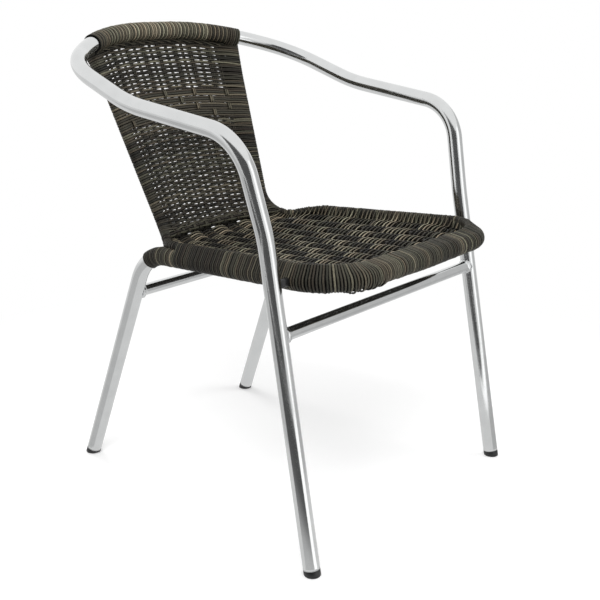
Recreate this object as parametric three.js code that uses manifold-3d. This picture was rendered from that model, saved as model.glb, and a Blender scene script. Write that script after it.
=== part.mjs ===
// Rattan bistro chair: a stacking cafe armchair of bent aluminium tube with a woven seat and back.
// Millimetres, +Z up, floor at z = 0, front towards -Y, symmetric about x = 0.
import * as THREE from 'three';
import { mergeVertices } from 'three/addons/utils/BufferGeometryUtils.js';
import Module from 'manifold-3d';

const wasm = await Module();
wasm.setup();

// Gap between pieces that touch
const CLEARANCE = 0.3;

// Main tube: front legs, arms and back top rail in one run
const TUBE_DIAMETER = 25;
const TUBE_WALL = 1.5;
const FRONT_FOOT_HALF_WIDTH = 252.5;
const FRONT_FOOT_DEPTH = -263.5;
const KNEE_HALF_WIDTH = 246;
const KNEE_DEPTH = -176;
const KNEE_HEIGHT = 474;
const KNEE_BEND_RADIUS = 285;
const ARM_FRONT_HALF_WIDTH = 261.5;
const ARM_FRONT_DEPTH = -145;
const ARM_FRONT_HEIGHT = 612;
const ARM_FRONT_BEND_RADIUS = 78;
const ARM_MIDDLE_HALF_WIDTH = 265.5;
const ARM_MIDDLE_DEPTH = 72;
const ARM_MIDDLE_HEIGHT = 642;
const ARM_MIDDLE_BEND_RADIUS = 280;
const ARM_REAR_HALF_WIDTH = 257;
const ARM_REAR_DEPTH = 204;
const ARM_REAR_HEIGHT = 690;
const ARM_REAR_BEND_RADIUS = 115;
const TOP_RAIL_HALF_WIDTH = 135;
const TOP_RAIL_DEPTH = 300;
const TOP_RAIL_HEIGHT = 734;
const TOP_RAIL_BEND_RADIUS = 295;

// Seat tube: rear legs, side rails and front rail in one run, of the same stock as the main tube
const REAR_FOOT_HALF_WIDTH = 200.5;
const REAR_FOOT_DEPTH = 298;
const SEAT_REAR_HALF_WIDTH = 185;
const SEAT_REAR_DEPTH = 142.5;
const SEAT_REAR_HEIGHT = 394;
const SEAT_REAR_BEND_RADIUS = 76;
const SEAT_FRONT_HALF_WIDTH = 207;
const SEAT_FRONT_DEPTH = -268;
const SEAT_FRONT_HEIGHT = 417;
const SEAT_FRONT_BEND_RADIUS = 74;

// Stretchers with their weld beads
const STRETCHER_DIAMETER = 19;
const STRETCHER_WALL = 1.5;
const FRONT_STRETCHER_HEIGHT = 343;
const REAR_STRETCHER_HEIGHT = 323;
const WELD_LENGTH = 6;
const WELD_RISE = 2;

// Rods that carry the weave
const RIM_ROD_DIAMETER = 10;
const BACK_ROD_TOP_HALF_WIDTH = 165;
const BACK_ROD_TOP_BEHIND = 12;
const BACK_ROD_TOP_DROP = 3;
const BACK_ROD_HEEL_HALF_WIDTH = 123.5;
const BACK_ROD_HEEL_DEPTH = 156.5;
const BACK_ROD_HEEL_HEIGHT = 397;
const BACK_ROD_HEEL_BEND_RADIUS = 54;
const BACK_ROD_LANDING_DEPTH = 88;
const BACK_ROD_LANDING_BEND_RADIUS = 85;
const BACK_ROD_END_DEPTH = -172;
const SIDE_ROD_TILT = THREE.MathUtils.degToRad(8);
const FRONT_ROD_TILT = THREE.MathUtils.degToRad(55);
const FRONT_ROD_END_DEPTH = -200;
const CROSS_ROD_BOW = 20;
const CROSS_ROD_PAST_HEEL = 6;
const SEAT_ROD_DIAMETER = 6;
const SEAT_ROD_COUNT = 9;
const SEAT_ROD_SPREAD = 157.5;
const SEAT_DISH = 13;

// Wraps of strand round the tubes, as bundles with a groove between them
const STRAND_THICKNESS = 3;
const WRAP_THICKNESS = 3.5;
const WRAP_GROOVE = 0.9;
const WRAP_BUNDLE = 20;
const TOP_WRAP_HALF_WIDTH = 171;
const SIDE_WRAP_START_DEPTH = 132;

// Woven back and woven seat
const BACK_WEAVE_THICKNESS = 5;
const BACK_SIDE_BAND_SHARE = 0.14;
const BACK_COLUMNS = 21;
const BACK_GAP_ROWS = 11;
const BACK_BAND_FIRST_ROW = 4;
const BACK_BAND_LAST_ROW = 5;
const BACK_GAP_HEIGHT_SHARE = 0.4;
const SEAT_WEAVE_THICKNESS = 3;
const SEAT_WEAVE_RELIEF = 1.2;
const SEAT_ROWS = 14;
const SEAT_REAR_BOW_ROWS = 5;

// Foot plugs
const FOOT_HEAD_HEIGHT = 9;
const FOOT_STEM_LENGTH = 22;
const FOOT_EDGE_ROUND = 1.5;

// Bolts that hold the seat tube to the front legs
const BOLT_DIAMETER = 6;
const BOLT_HEAD_DIAMETER = 12;
const BOLT_HEAD_HEIGHT = 3.6;
const SPACER_DIAMETER = 13;
const INSERT_DIAMETER = 9;
const INSERT_LENGTH = 12;
const VENT_HOLE_DIAMETER = 4;

// Facets
const FINEST_DETAIL = 0.1;
const TUBE_SIDES = 12;
const ROD_SIDES = 8;
const THIN_ROD_SIDES = 6;
const WRAP_SIDES = 8;
const ROUND_SIDES = 16;
const BEND_STEP_ANGLE = THREE.MathUtils.degToRad(20);
const BEND_STEP_LENGTH = 62;

const TUBE_RADIUS = TUBE_DIAMETER / 2;
const RIM_ROD_RADIUS = RIM_ROD_DIAMETER / 2;
const SEAT_ROD_RADIUS = SEAT_ROD_DIAMETER / 2;
const WRAP_RADIUS = TUBE_RADIUS + WRAP_THICKNESS;
const ROD_WRAP_RADIUS = RIM_ROD_RADIUS + STRAND_THICKNESS;
const UP = new THREE.Vector3(0, 0, 1);

const aluminium = new THREE.MeshStandardMaterial({ color: 0xc9cdd0, roughness: 0.18, metalness: 1 });
const brownMetal = new THREE.MeshStandardMaterial({ color: 0x423b31, roughness: 0.5, metalness: 0.2 });
const wicker = new THREE.MeshStandardMaterial({ color: 0x3b362e, roughness: 0.6, metalness: 0 });
const wickerLight = new THREE.MeshStandardMaterial({ color: 0x57503f, roughness: 0.6, metalness: 0 });
const blackPlastic = new THREE.MeshStandardMaterial({ color: 0x151515, roughness: 0.5, metalness: 0 });
const steel = new THREE.MeshStandardMaterial({ color: 0x77797b, roughness: 0.35, metalness: 1 });

const chair = new THREE.Group();

function vec(x, y, z) {
  return new THREE.Vector3(x, y, z);
}

function mirroredPoint(point) {
  return vec(-point.x, point.y, point.z);
}

// Length of straight that each bend of a run takes up, limited by the straights between the bends
function bendTangents(points, radii) {
  const turns = radii.map((radius, index) => {
    const before = points[index + 1].clone().sub(points[index]).normalize();
    const after = points[index + 2].clone().sub(points[index + 1]).normalize();
    return before.angleTo(after);
  });
  const wanted = [0, ...radii.map((radius, index) => radius * Math.tan(turns[index] / 2)), 0];
  const limited = [...wanted];
  for (let index = 0; index + 1 < points.length; index += 1) {
    const length = points[index].distanceTo(points[index + 1]);
    const share = Math.min(1, length / (wanted[index] + wanted[index + 1]));
    limited[index] = Math.min(limited[index], wanted[index] * share);
    limited[index + 1] = Math.min(limited[index + 1], wanted[index + 1] * share);
  }
  return { turns, tangents: limited.slice(1, -1) };
}

// Stations along a bent run: the ends, and a ring every few degrees round each bend
function bendStations(points, radii) {
  const { turns, tangents } = bendTangents(points, radii);
  const stations = [];
  const add = (point, tangent) => {
    const last = stations[stations.length - 1];
    if (!last || last.point.distanceTo(point) > CLEARANCE) {
      stations.push({ point, tangent });
    }
  };
  add(points[0].clone(), points[1].clone().sub(points[0]).normalize());
  radii.forEach((radius, index) => {
    const corner = points[index + 1];
    const before = corner.clone().sub(points[index]).normalize();
    const after = points[index + 2].clone().sub(corner).normalize();
    const turn = turns[index];
    const bendRadius = tangents[index] / Math.tan(turn / 2);
    const start = corner.clone().addScaledVector(before, -tangents[index]);
    const inward = after.clone().addScaledVector(before, -Math.cos(turn)).normalize();
    const byAngle = Math.ceil(turn / BEND_STEP_ANGLE);
    const byLength = Math.ceil((bendRadius * turn) / BEND_STEP_LENGTH);
    const steps = Math.max(2, byAngle, byLength);
    for (let step = 0; step <= steps; step += 1) {
      const angle = (turn * step) / steps;
      const point = start.clone()
        .addScaledVector(before, bendRadius * Math.sin(angle))
        .addScaledVector(inward, bendRadius * (1 - Math.cos(angle)));
      const tangent = before.clone().multiplyScalar(Math.cos(angle)).addScaledVector(inward, Math.sin(angle));
      add(point, tangent);
    }
  });
  const end = points[points.length - 1];
  add(end.clone(), end.clone().sub(points[points.length - 2]).normalize());
  return stations;
}

// A curve that runs through its stations, with one step of the sweep at each
class StationCurve extends THREE.Curve {
  constructor(stations) {
    super();
    this.stations = stations;
  }

  bracket(t) {
    const place = t * (this.stations.length - 1);
    const index = Math.min(Math.floor(place), this.stations.length - 2);
    return { from: this.stations[index], to: this.stations[index + 1], share: place - index };
  }

  getPoint(t, target = new THREE.Vector3()) {
    const { from, to, share } = this.bracket(t);
    return target.copy(from.point).lerp(to.point, share);
  }

  getTangent(t, target = new THREE.Vector3()) {
    const { from, to, share } = this.bracket(t);
    return target.copy(from.tangent).lerp(to.tangent, share).normalize();
  }

  getUtoTmapping(u) {
    return u;
  }
}

// Section frame at a place on a run: inward across the seat, and up
function frameAt(place) {
  const inward = place.tangent.clone().cross(UP).normalize();
  const up = inward.clone().cross(place.tangent).normalize();
  return { point: place.point, tangent: place.tangent, inward, up };
}

function runLengths(stations) {
  const lengths = [0];
  for (let index = 1; index < stations.length; index += 1) {
    lengths.push(lengths[index - 1] + stations[index].point.distanceTo(stations[index - 1].point));
  }
  return lengths;
}

function placeAtLength(stations, length) {
  const lengths = runLengths(stations);
  let index = 0;
  while (index < stations.length - 2 && lengths[index + 1] < length) {
    index += 1;
  }
  const share = (length - lengths[index]) / (lengths[index + 1] - lengths[index]);
  const point = stations[index].point.clone().lerp(stations[index + 1].point, share);
  const tangent = stations[index].tangent.clone().lerp(stations[index + 1].tangent, share).normalize();
  return { point, tangent, length };
}

// Length along a run at which a coordinate first crosses a value
function lengthWhere(stations, axis, value) {
  const lengths = runLengths(stations);
  for (let index = 0; index + 1 < stations.length; index += 1) {
    const from = stations[index].point[axis];
    const to = stations[index + 1].point[axis];
    if ((from - value) * (to - value) <= 0 && from !== to) {
      return lengths[index] + ((value - from) / (to - from)) * (lengths[index + 1] - lengths[index]);
    }
  }
  return lengths[lengths.length - 1];
}

function placeWhere(stations, axis, value) {
  return placeAtLength(stations, lengthWhere(stations, axis, value));
}

// Part of a run between two lengths, with every station that lies inside it
function partOfRun(stations, from, to) {
  const isInside = (length) => length > from + CLEARANCE && length < to - CLEARANCE;
  const inside = runLengths(stations).filter(isInside);
  return [from, ...inside, to].map((length) => placeAtLength(stations, length));
}

function runLength(stations) {
  return runLengths(stations)[stations.length - 1];
}

// Length along a run of its place nearest to a point
function nearestLength(stations, point) {
  const lengths = runLengths(stations);
  let best = { distance: Infinity, length: 0 };
  for (let index = 0; index + 1 < stations.length; index += 1) {
    const line = new THREE.Line3(stations[index].point, stations[index + 1].point);
    const share = line.closestPointToPointParameter(point, true);
    const distance = line.at(share, new THREE.Vector3()).distanceTo(point);
    if (distance < best.distance) {
      best = { distance, length: THREE.MathUtils.lerp(lengths[index], lengths[index + 1], share) };
    }
  }
  return best.length;
}

// Stations through a row of points, each with the direction between its neighbours
function stationsThrough(points) {
  return points.map((point, index) => {
    const before = points[Math.max(0, index - 1)];
    const after = points[Math.min(points.length - 1, index + 1)];
    return { point, tangent: after.clone().sub(before).normalize() };
  });
}

function polygon(radius, sides) {
  const points = [];
  for (let index = 0; index < sides; index += 1) {
    const angle = (2 * Math.PI * index) / sides;
    points.push(new THREE.Vector2(radius * Math.cos(angle), radius * Math.sin(angle)));
  }
  return points;
}

// Solid from a geometry, turned the right way out
function solidOf(geometry) {
  const bare = geometry.clone();
  Object.keys(bare.attributes).forEach((name) => {
    if (name !== 'position') {
      bare.deleteAttribute(name);
    }
  });
  const merged = mergeVertices(bare);
  const vertProperties = new Float32Array(merged.attributes.position.array);
  const triVerts = new Uint32Array(merged.index.array);
  const solid = new wasm.Manifold(new wasm.Mesh({ numProp: 3, vertProperties, triVerts }));
  if (solid.volume() > 0) {
    return solid;
  }
  for (let index = 0; index < triVerts.length; index += 3) {
    [triVerts[index], triVerts[index + 1]] = [triVerts[index + 1], triVerts[index]];
  }
  return new wasm.Manifold(new wasm.Mesh({ numProp: 3, vertProperties, triVerts }));
}

function largestBody(solid) {
  return solid.decompose().reduce((best, body) => (body.volume() > best.volume() ? body : best));
}

// What is left of a solid outside all the cutting bodies, in one piece
function without(solid, cuts) {
  return largestBody(cuts.reduce((rest, cut) => rest.subtract(cut), solid));
}

function geometryOf(solid) {
  const mesh = solid.simplify(FINEST_DETAIL).getMesh();
  const geometry = new THREE.BufferGeometry();
  const stride = mesh.numProp;
  const count = mesh.vertProperties.length / stride;
  const positions = new Float32Array(count * 3);
  for (let index = 0; index < count; index += 1) {
    for (let axis = 0; axis < 3; axis += 1) {
      positions[index * 3 + axis] = mesh.vertProperties[index * stride + axis];
    }
  }
  geometry.setAttribute('position', new THREE.BufferAttribute(positions, 3));
  geometry.setIndex(new THREE.BufferAttribute(new Uint32Array(mesh.triVerts), 1));
  geometry.computeVertexNormals();
  return geometry;
}

function mirroredGeometry(geometry) {
  const copy = geometry.clone().applyMatrix4(new THREE.Matrix4().makeScale(-1, 1, 1));
  const index = copy.index.array;
  for (let place = 0; place < index.length; place += 3) {
    [index[place], index[place + 1]] = [index[place + 1], index[place]];
  }
  copy.computeVertexNormals();
  return copy;
}

function mirroredSolid(solid) {
  return solidOf(mirroredGeometry(geometryOf(solid)));
}

function addPiece(name, solid, material) {
  const mesh = new THREE.Mesh(geometryOf(solid), material);
  mesh.name = name;
  chair.add(mesh);
  return mesh;
}

// A right piece and its mirror image on the left
function addPair(name, solid, material) {
  const right = addPiece(`${name}_right`, solid, material);
  const left = new THREE.Mesh(mirroredGeometry(right.geometry), material);
  left.name = `${name}_left`;
  chair.add(left);
}

// Round tube or bar swept along a run
function sweptRound(stations, radius, sides, boreRadius = 0) {
  const shape = new THREE.Shape(polygon(radius, sides));
  if (boreRadius > 0) {
    shape.holes.push(new THREE.Path(polygon(boreRadius, sides)));
  }
  const extrudePath = new StationCurve(stations);
  return solidOf(new THREE.ExtrudeGeometry(shape, { steps: stations.length - 1, extrudePath }));
}

// Closed body through a row of rings with the same number of points
function loftedRings(rings) {
  const sides = rings[0].length;
  const positions = [];
  const indices = [];
  rings.forEach((ring) => ring.forEach((point) => positions.push(point.x, point.y, point.z)));
  for (let ring = 0; ring + 1 < rings.length; ring += 1) {
    for (let side = 0; side < sides; side += 1) {
      const next = (side + 1) % sides;
      const a = ring * sides + side;
      const b = ring * sides + next;
      indices.push(a, b, b + sides, a, b + sides, a + sides);
    }
  }
  const last = (rings.length - 1) * sides;
  for (let side = 1; side + 1 < sides; side += 1) {
    indices.push(0, side + 1, side, last, last + side, last + side + 1);
  }
  const geometry = new THREE.BufferGeometry();
  geometry.setAttribute('position', new THREE.Float32BufferAttribute(positions, 3));
  geometry.setIndex(indices);
  return solidOf(geometry);
}

// Outline of strand drawn tight round the tube and, where there is one, the rod beside it
function wrapRing(frame, tilt, growth) {
  const rodOffset = TUBE_RADIUS + RIM_ROD_RADIUS + CLEARANCE;
  const ring = [];
  for (let side = 0; side < WRAP_SIDES; side += 1) {
    const angle = (2 * Math.PI * (side + 1 / 2)) / WRAP_SIDES;
    const across = Math.sin(angle);
    const rise = Math.cos(angle);
    const overTube = WRAP_RADIUS + growth;
    let reach = [across * overTube, rise * overTube];
    if (tilt !== null) {
      const rodAcross = rodOffset * Math.sin(tilt);
      const rodRise = rodOffset * Math.cos(tilt);
      const overRod = ROD_WRAP_RADIUS + growth;
      if (rodAcross * across + rodRise * rise + overRod > overTube) {
        reach = [rodAcross + across * overRod, rodRise + rise * overRod];
      }
    }
    const point = frame.point.clone().addScaledVector(frame.inward, reach[0]);
    ring.push(point.addScaledVector(frame.up, reach[1]));
  }
  return ring;
}

// Loft along a stretch of tube, two steps to each bundle of strand
function wrapLoft(stretch, growthAt, overrun) {
  const last = stretch.parts.length - 1;
  const rings = stretch.parts.flatMap(([from, to], index) => {
    const halves = 2 * Math.max(1, Math.round((to - from) / WRAP_BUNDLE));
    return [...Array(halves + 1).keys()].map((half) => {
      const shift = (half === 0 ? -overrun : 0) + (half === halves ? overrun * (index === last ? 1 : -1) : 0);
      const place = placeAtLength(stretch.run, from + ((to - from) * half) / halves + shift);
      return wrapRing(frameAt(place), stretch.tiltAt(place), growthAt(half));
    });
  });
  return loftedRings(rings);
}

// Wrap with one crest and one groove for each bundle
function wrapBody(stretch) {
  return wrapLoft(stretch, (half) => (half % 2 === 0 ? -WRAP_GROOVE : 0), 0);
}

// Room that a wrap needs in the pieces that meet it
function wrapRoom(stretch) {
  return wrapLoft(stretch, () => CLEARANCE, CLEARANCE).simplify(FINEST_DETAIL);
}

// Direction across a sheet at a grid corner, from the corners beside it
function sheetNormal(pointAt, columns, rows, column, row) {
  const left = pointAt(Math.max(0, column - 1), row);
  const right = pointAt(Math.min(columns, column + 1), row);
  const before = pointAt(column, Math.max(0, row - 1));
  const after = pointAt(column, Math.min(rows, row + 1));
  return right.sub(left).cross(after.sub(before)).normalize();
}

// Sheet of even thickness over a grid of points, with some cells left open
function sheetBody(columns, rows, pointAt, thickness, isOpen) {
  const positions = [];
  const indices = [];
  const corner = (column, row, back) => (row * (columns + 1) + column) * 2 + back;
  for (let row = 0; row <= rows; row += 1) {
    for (let column = 0; column <= columns; column += 1) {
      const point = pointAt(column, row);
      const normal = sheetNormal(pointAt, columns, rows, column, row);
      [thickness / 2, -thickness / 2].forEach((offset) => {
        const vertex = point.clone().addScaledVector(normal, offset);
        positions.push(vertex.x, vertex.y, vertex.z);
      });
    }
  }
  const closed = (column, row) => {
    return column >= 0 && row >= 0 && column < columns && row < rows && !isOpen(column, row);
  };
  const quad = (a, b, c, d) => indices.push(a, b, c, a, c, d);
  const addCell = (column, row) => {
    const corners = [[column, row], [column + 1, row], [column + 1, row + 1], [column, row + 1]];
    const beside = [[column, row - 1], [column + 1, row], [column, row + 1], [column - 1, row]];
    const front = corners.map(([i, j]) => corner(i, j, 0));
    const back = corners.map(([i, j]) => corner(i, j, 1));
    quad(front[0], front[1], front[2], front[3]);
    quad(back[3], back[2], back[1], back[0]);
    beside.forEach(([i, j], edge) => {
      if (!closed(i, j)) {
        const next = (edge + 1) % 4;
        quad(front[next], front[edge], back[edge], back[next]);
      }
    });
  };
  for (let row = 0; row < rows; row += 1) {
    for (let column = 0; column < columns; column += 1) {
      if (closed(column, row)) {
        addCell(column, row);
      }
    }
  }
  const geometry = new THREE.BufferGeometry();
  geometry.setAttribute('position', new THREE.Float32BufferAttribute(positions, 3));
  geometry.setIndex(indices);
  return solidOf(geometry.toNonIndexed());
}

// Body of revolution about a line through a point
function turnedBody(profile, origin, direction, sides = ROUND_SIDES) {
  const outline = profile.map(([radius, along]) => new THREE.Vector2(radius, along));
  const geometry = new THREE.LatheGeometry(outline, sides);
  const turn = new THREE.Quaternion().setFromUnitVectors(vec(0, 1, 0), direction.clone().normalize());
  geometry.applyQuaternion(turn);
  geometry.translate(origin.x, origin.y, origin.z);
  return solidOf(geometry);
}

function closedProfile(points) {
  return [...points, points[0]];
}

// Run of the main tube, from the right front foot to the left one
const frontFoot = vec(FRONT_FOOT_HALF_WIDTH, FRONT_FOOT_DEPTH, 0);
const knee = vec(KNEE_HALF_WIDTH, KNEE_DEPTH, KNEE_HEIGHT);
const mainCorners = [
  knee,
  vec(ARM_FRONT_HALF_WIDTH, ARM_FRONT_DEPTH, ARM_FRONT_HEIGHT),
  vec(ARM_MIDDLE_HALF_WIDTH, ARM_MIDDLE_DEPTH, ARM_MIDDLE_HEIGHT),
  vec(ARM_REAR_HALF_WIDTH, ARM_REAR_DEPTH, ARM_REAR_HEIGHT),
  vec(TOP_RAIL_HALF_WIDTH, TOP_RAIL_DEPTH, TOP_RAIL_HEIGHT),
];
const mainRadii = [
  KNEE_BEND_RADIUS, ARM_FRONT_BEND_RADIUS, ARM_MIDDLE_BEND_RADIUS, ARM_REAR_BEND_RADIUS, TOP_RAIL_BEND_RADIUS,
];

// Run of the seat tube, from the right rear foot to the left one
const rearFoot = vec(REAR_FOOT_HALF_WIDTH, REAR_FOOT_DEPTH, 0);
const seatRear = vec(SEAT_REAR_HALF_WIDTH, SEAT_REAR_DEPTH, SEAT_REAR_HEIGHT);
const seatCorners = [seatRear, vec(SEAT_FRONT_HALF_WIDTH, SEAT_FRONT_DEPTH, SEAT_FRONT_HEIGHT)];
const seatRadii = [SEAT_REAR_BEND_RADIUS, SEAT_FRONT_BEND_RADIUS];

// A leg's square-cut end stays above the floor by the height of its foot's head on the leg's axis
function legEnd(foot, corner) {
  const axis = corner.clone().sub(foot).normalize();
  return foot.clone().addScaledVector(axis, FOOT_HEAD_HEIGHT / axis.z);
}

function mirroredRun(end, corners, radii) {
  const half = [end, ...corners];
  const points = [...half, ...half.map(mirroredPoint).reverse()];
  return bendStations(points, [...radii, ...[...radii].reverse()]);
}

const mainRun = mirroredRun(legEnd(frontFoot, knee), mainCorners, mainRadii);
const seatRun = mirroredRun(legEnd(rearFoot, seatRear), seatCorners, seatRadii);

// Bolt line: level, through the front leg and the seat rail where they pass each other
function boltPlaces() {
  let leg = placeWhere(mainRun, 'z', SEAT_FRONT_HEIGHT);
  let rail = placeWhere(seatRun, 'y', leg.point.y);
  for (let pass = 0; pass < 4; pass += 1) {
    leg = placeWhere(mainRun, 'z', rail.point.z);
    rail = placeWhere(seatRun, 'y', leg.point.y);
  }
  return { leg, rail };
}

const bolt = boltPlaces();
const boltAxis = vec(1, 0, 0);
const boltHoleRadius = BOLT_DIAMETER / 2 + CLEARANCE;

function crossHole(centre, radius, halfLength) {
  const start = centre.clone().addScaledVector(boltAxis, -halfLength);
  const profile = [[0, 0], [radius, 0], [radius, 2 * halfLength], [0, 2 * halfLength]];
  return turnedBody(profile, start, boltAxis);
}

// Tubes with the holes for the bolts
function buildMainTube() {
  const inserted = INSERT_DIAMETER / 2 + CLEARANCE;
  let tube = sweptRound(mainRun, TUBE_RADIUS, TUBE_SIDES, TUBE_RADIUS - TUBE_WALL);
  [bolt.leg.point, mirroredPoint(bolt.leg.point)].forEach((centre) => {
    const inner = centre.clone().setX(centre.x - Math.sign(centre.x) * TUBE_RADIUS);
    tube = tube.subtract(crossHole(inner, inserted, TUBE_RADIUS / 2));
  });
  addPiece('main_tube', tube, aluminium);
}

function buildSeatTube() {
  let tube = sweptRound(seatRun, TUBE_RADIUS, TUBE_SIDES, TUBE_RADIUS - TUBE_WALL);
  const stretcherEnd = placeWhere(seatRun, 'z', REAR_STRETCHER_HEIGHT).point;
  [bolt.rail.point, mirroredPoint(bolt.rail.point)].forEach((centre) => {
    tube = tube.subtract(crossHole(centre, boltHoleRadius, TUBE_DIAMETER));
  });
  [stretcherEnd, mirroredPoint(stretcherEnd)].forEach((centre) => {
    const outer = centre.clone().setX(centre.x + Math.sign(centre.x) * TUBE_RADIUS);
    tube = tube.subtract(crossHole(outer, VENT_HOLE_DIAMETER / 2, TUBE_RADIUS / 2));
  });
  addPiece('seat_tube', tube, aluminium);
}

// Stretcher between two legs, flared by its weld bead and coped to the legs
function buildStretcher(name, run, height) {
  const place = placeWhere(run, 'z', height);
  const half = place.point.x;
  const radius = STRETCHER_DIAMETER / 2;
  const bore = radius - STRETCHER_WALL;
  const flare = half - TUBE_RADIUS - WELD_LENGTH;
  const profile = closedProfile([
    [bore, -half], [radius + WELD_RISE, -half], [radius + WELD_RISE, WELD_LENGTH / 2 - half + TUBE_RADIUS],
    [radius, -flare], [radius, flare],
    [radius + WELD_RISE, half - TUBE_RADIUS - WELD_LENGTH / 2], [radius + WELD_RISE, half], [bore, half],
  ]);
  const tube = turnedBody(profile, vec(0, place.point.y, place.point.z), vec(1, 0, 0));
  const legs = sweptRound(run, TUBE_RADIUS + CLEARANCE, TUBE_SIDES);
  addPiece(name, largestBody(tube.subtract(legs)), aluminium);
}

// Place of a rim rod beside the seat tube: on top of it and tilted inward
function besideRail(place, tilt) {
  const frame = frameAt(place);
  const reach = TUBE_RADIUS + RIM_ROD_RADIUS + CLEARANCE;
  return frame.point.clone()
    .addScaledVector(frame.inward, reach * Math.sin(tilt))
    .addScaledVector(frame.up, reach * Math.cos(tilt));
}

// Back rod: from the rear of the top rail down the side of the back, round the heel, and forward on
// top of the side rail
const heelCorner = vec(BACK_ROD_HEEL_HALF_WIDTH, BACK_ROD_HEEL_DEPTH, BACK_ROD_HEEL_HEIGHT);
const railAtRod = placeWhere(mainRun, 'x', BACK_ROD_TOP_HALF_WIDTH).point;
const backRodRun = bendStations([
  railAtRod.clone().add(vec(0, BACK_ROD_TOP_BEHIND, -BACK_ROD_TOP_DROP)),
  heelCorner,
  besideRail(placeWhere(seatRun, 'y', BACK_ROD_LANDING_DEPTH), SIDE_ROD_TILT),
  besideRail(placeWhere(seatRun, 'y', BACK_ROD_END_DEPTH), SIDE_ROD_TILT),
], [BACK_ROD_HEEL_BEND_RADIUS, BACK_ROD_LANDING_BEND_RADIUS]);

const seatRunLength = runLength(seatRun);
const frontBendStart = lengthWhere(seatRun, 'y', FRONT_ROD_END_DEPTH);
const frontBendEnd = frontBendStart + (SEAT_FRONT_BEND_RADIUS * Math.PI) / 2;

// Tilt of the rim rod about the seat tube: nearly on top at the sides, behind the tube along the front
function rimTilt(place) {
  const fromEnd = Math.min(place.length, seatRunLength - place.length);
  const share = THREE.MathUtils.clamp((fromEnd - frontBendStart) / (frontBendEnd - frontBendStart), 0, 1);
  return THREE.MathUtils.lerp(SIDE_ROD_TILT, FRONT_ROD_TILT, share);
}

// Front rod: round the two front corners and along the front rail
function frontRodStations() {
  const places = partOfRun(seatRun, frontBendStart, seatRunLength - frontBendStart);
  return stationsThrough(places.map((place) => besideRail(place, rimTilt(place))));
}

const frontRodRun = frontRodStations();

// Cross rod: joins the two back rods just past the heel, bowed backwards
const heelLength = nearestLength(backRodRun, heelCorner);
const crossRodLength = heelLength + CROSS_ROD_PAST_HEEL;
const crossRodEnd = placeAtLength(backRodRun, crossRodLength).point;

function crossRodPoint(share) {
  return vec(crossRodEnd.x * share, crossRodEnd.y + CROSS_ROD_BOW * (1 - share * share), crossRodEnd.z);
}

function crossRodStations() {
  const steps = 6;
  const points = [];
  for (let step = 0; step <= steps; step += 1) {
    points.push(crossRodPoint(1 - (2 * step) / steps));
  }
  return stationsThrough(points);
}

const crossRodRun = crossRodStations();

const mainTubeCut = sweptRound(mainRun, TUBE_RADIUS + CLEARANCE, TUBE_SIDES);
const seatTubeCut = sweptRound(seatRun, TUBE_RADIUS + CLEARANCE, TUBE_SIDES);
const backRodCut = sweptRound(backRodRun, RIM_ROD_RADIUS + CLEARANCE, ROD_SIDES);
const rodCuts = [
  backRodCut,
  mirroredSolid(backRodCut),
  sweptRound(frontRodRun, RIM_ROD_RADIUS + CLEARANCE, ROD_SIDES),
  sweptRound(crossRodRun, RIM_ROD_RADIUS + CLEARANCE, ROD_SIDES),
];

function buildRimRods() {
  const backRod = sweptRound(backRodRun, RIM_ROD_RADIUS, ROD_SIDES).subtract(mainTubeCut);
  addPair('back_rod', largestBody(backRod), brownMetal);
  addPiece('seat_front_rod', sweptRound(frontRodRun, RIM_ROD_RADIUS, ROD_SIDES), brownMetal);
  const crossRod = without(sweptRound(crossRodRun, RIM_ROD_RADIUS, ROD_SIDES), rodCuts.slice(0, 2));
  addPiece('rear_cross_rod', crossRod, brownMetal);
}

// Stretches of the tubes that carry a wrap. The side wrap takes in the rim rod from where it lands
const boltLength = nearestLength(seatRun, bolt.rail.point);
const topWrapStart = lengthWhere(mainRun, 'x', TOP_WRAP_HALF_WIDTH);
const sideWrapStart = lengthWhere(seatRun, 'y', SIDE_WRAP_START_DEPTH);
const landingLength = lengthWhere(seatRun, 'y', BACK_ROD_LANDING_DEPTH);
const topStretch = {
  run: mainRun,
  parts: [[topWrapStart, runLength(mainRun) - topWrapStart]],
  tiltAt: () => null,
};
const sideStretch = {
  run: seatRun,
  parts: [[sideWrapStart, landingLength], [landingLength + 2 * CLEARANCE, boltLength - CLEARANCE]],
  tiltAt: (place) => (place.length > landingLength + CLEARANCE / 2 ? rimTilt(place) : null),
};
const frontStretch = {
  run: seatRun,
  parts: [[boltLength + CLEARANCE, seatRunLength - boltLength - CLEARANCE]],
  tiltAt: rimTilt,
};

const topWrapCut = wrapRoom(topStretch);
const sideWrapCut = wrapRoom(sideStretch);
const seatWrapCuts = [sideWrapCut, mirroredSolid(sideWrapCut), wrapRoom(frontStretch)];

function buildWraps() {
  const spacerRadius = SPACER_DIAMETER / 2 + CLEARANCE;
  const boltRoom = [bolt.rail.point, mirroredPoint(bolt.rail.point)].map((centre) => {
    return crossHole(centre, spacerRadius, TUBE_DIAMETER);
  });
  const top = wrapBody(topStretch);
  addPiece('top_wrap', without(top, [mainTubeCut, ...rodCuts]), wickerLight);
  const side = wrapBody(sideStretch);
  addPair('side_wrap', without(side, [seatTubeCut, boltRoom[0], ...rodCuts]), wicker);
  const front = wrapBody(frontStretch);
  addPiece('front_wrap', without(front, [seatTubeCut, ...boltRoom, ...rodCuts]), wicker);
}

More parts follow.
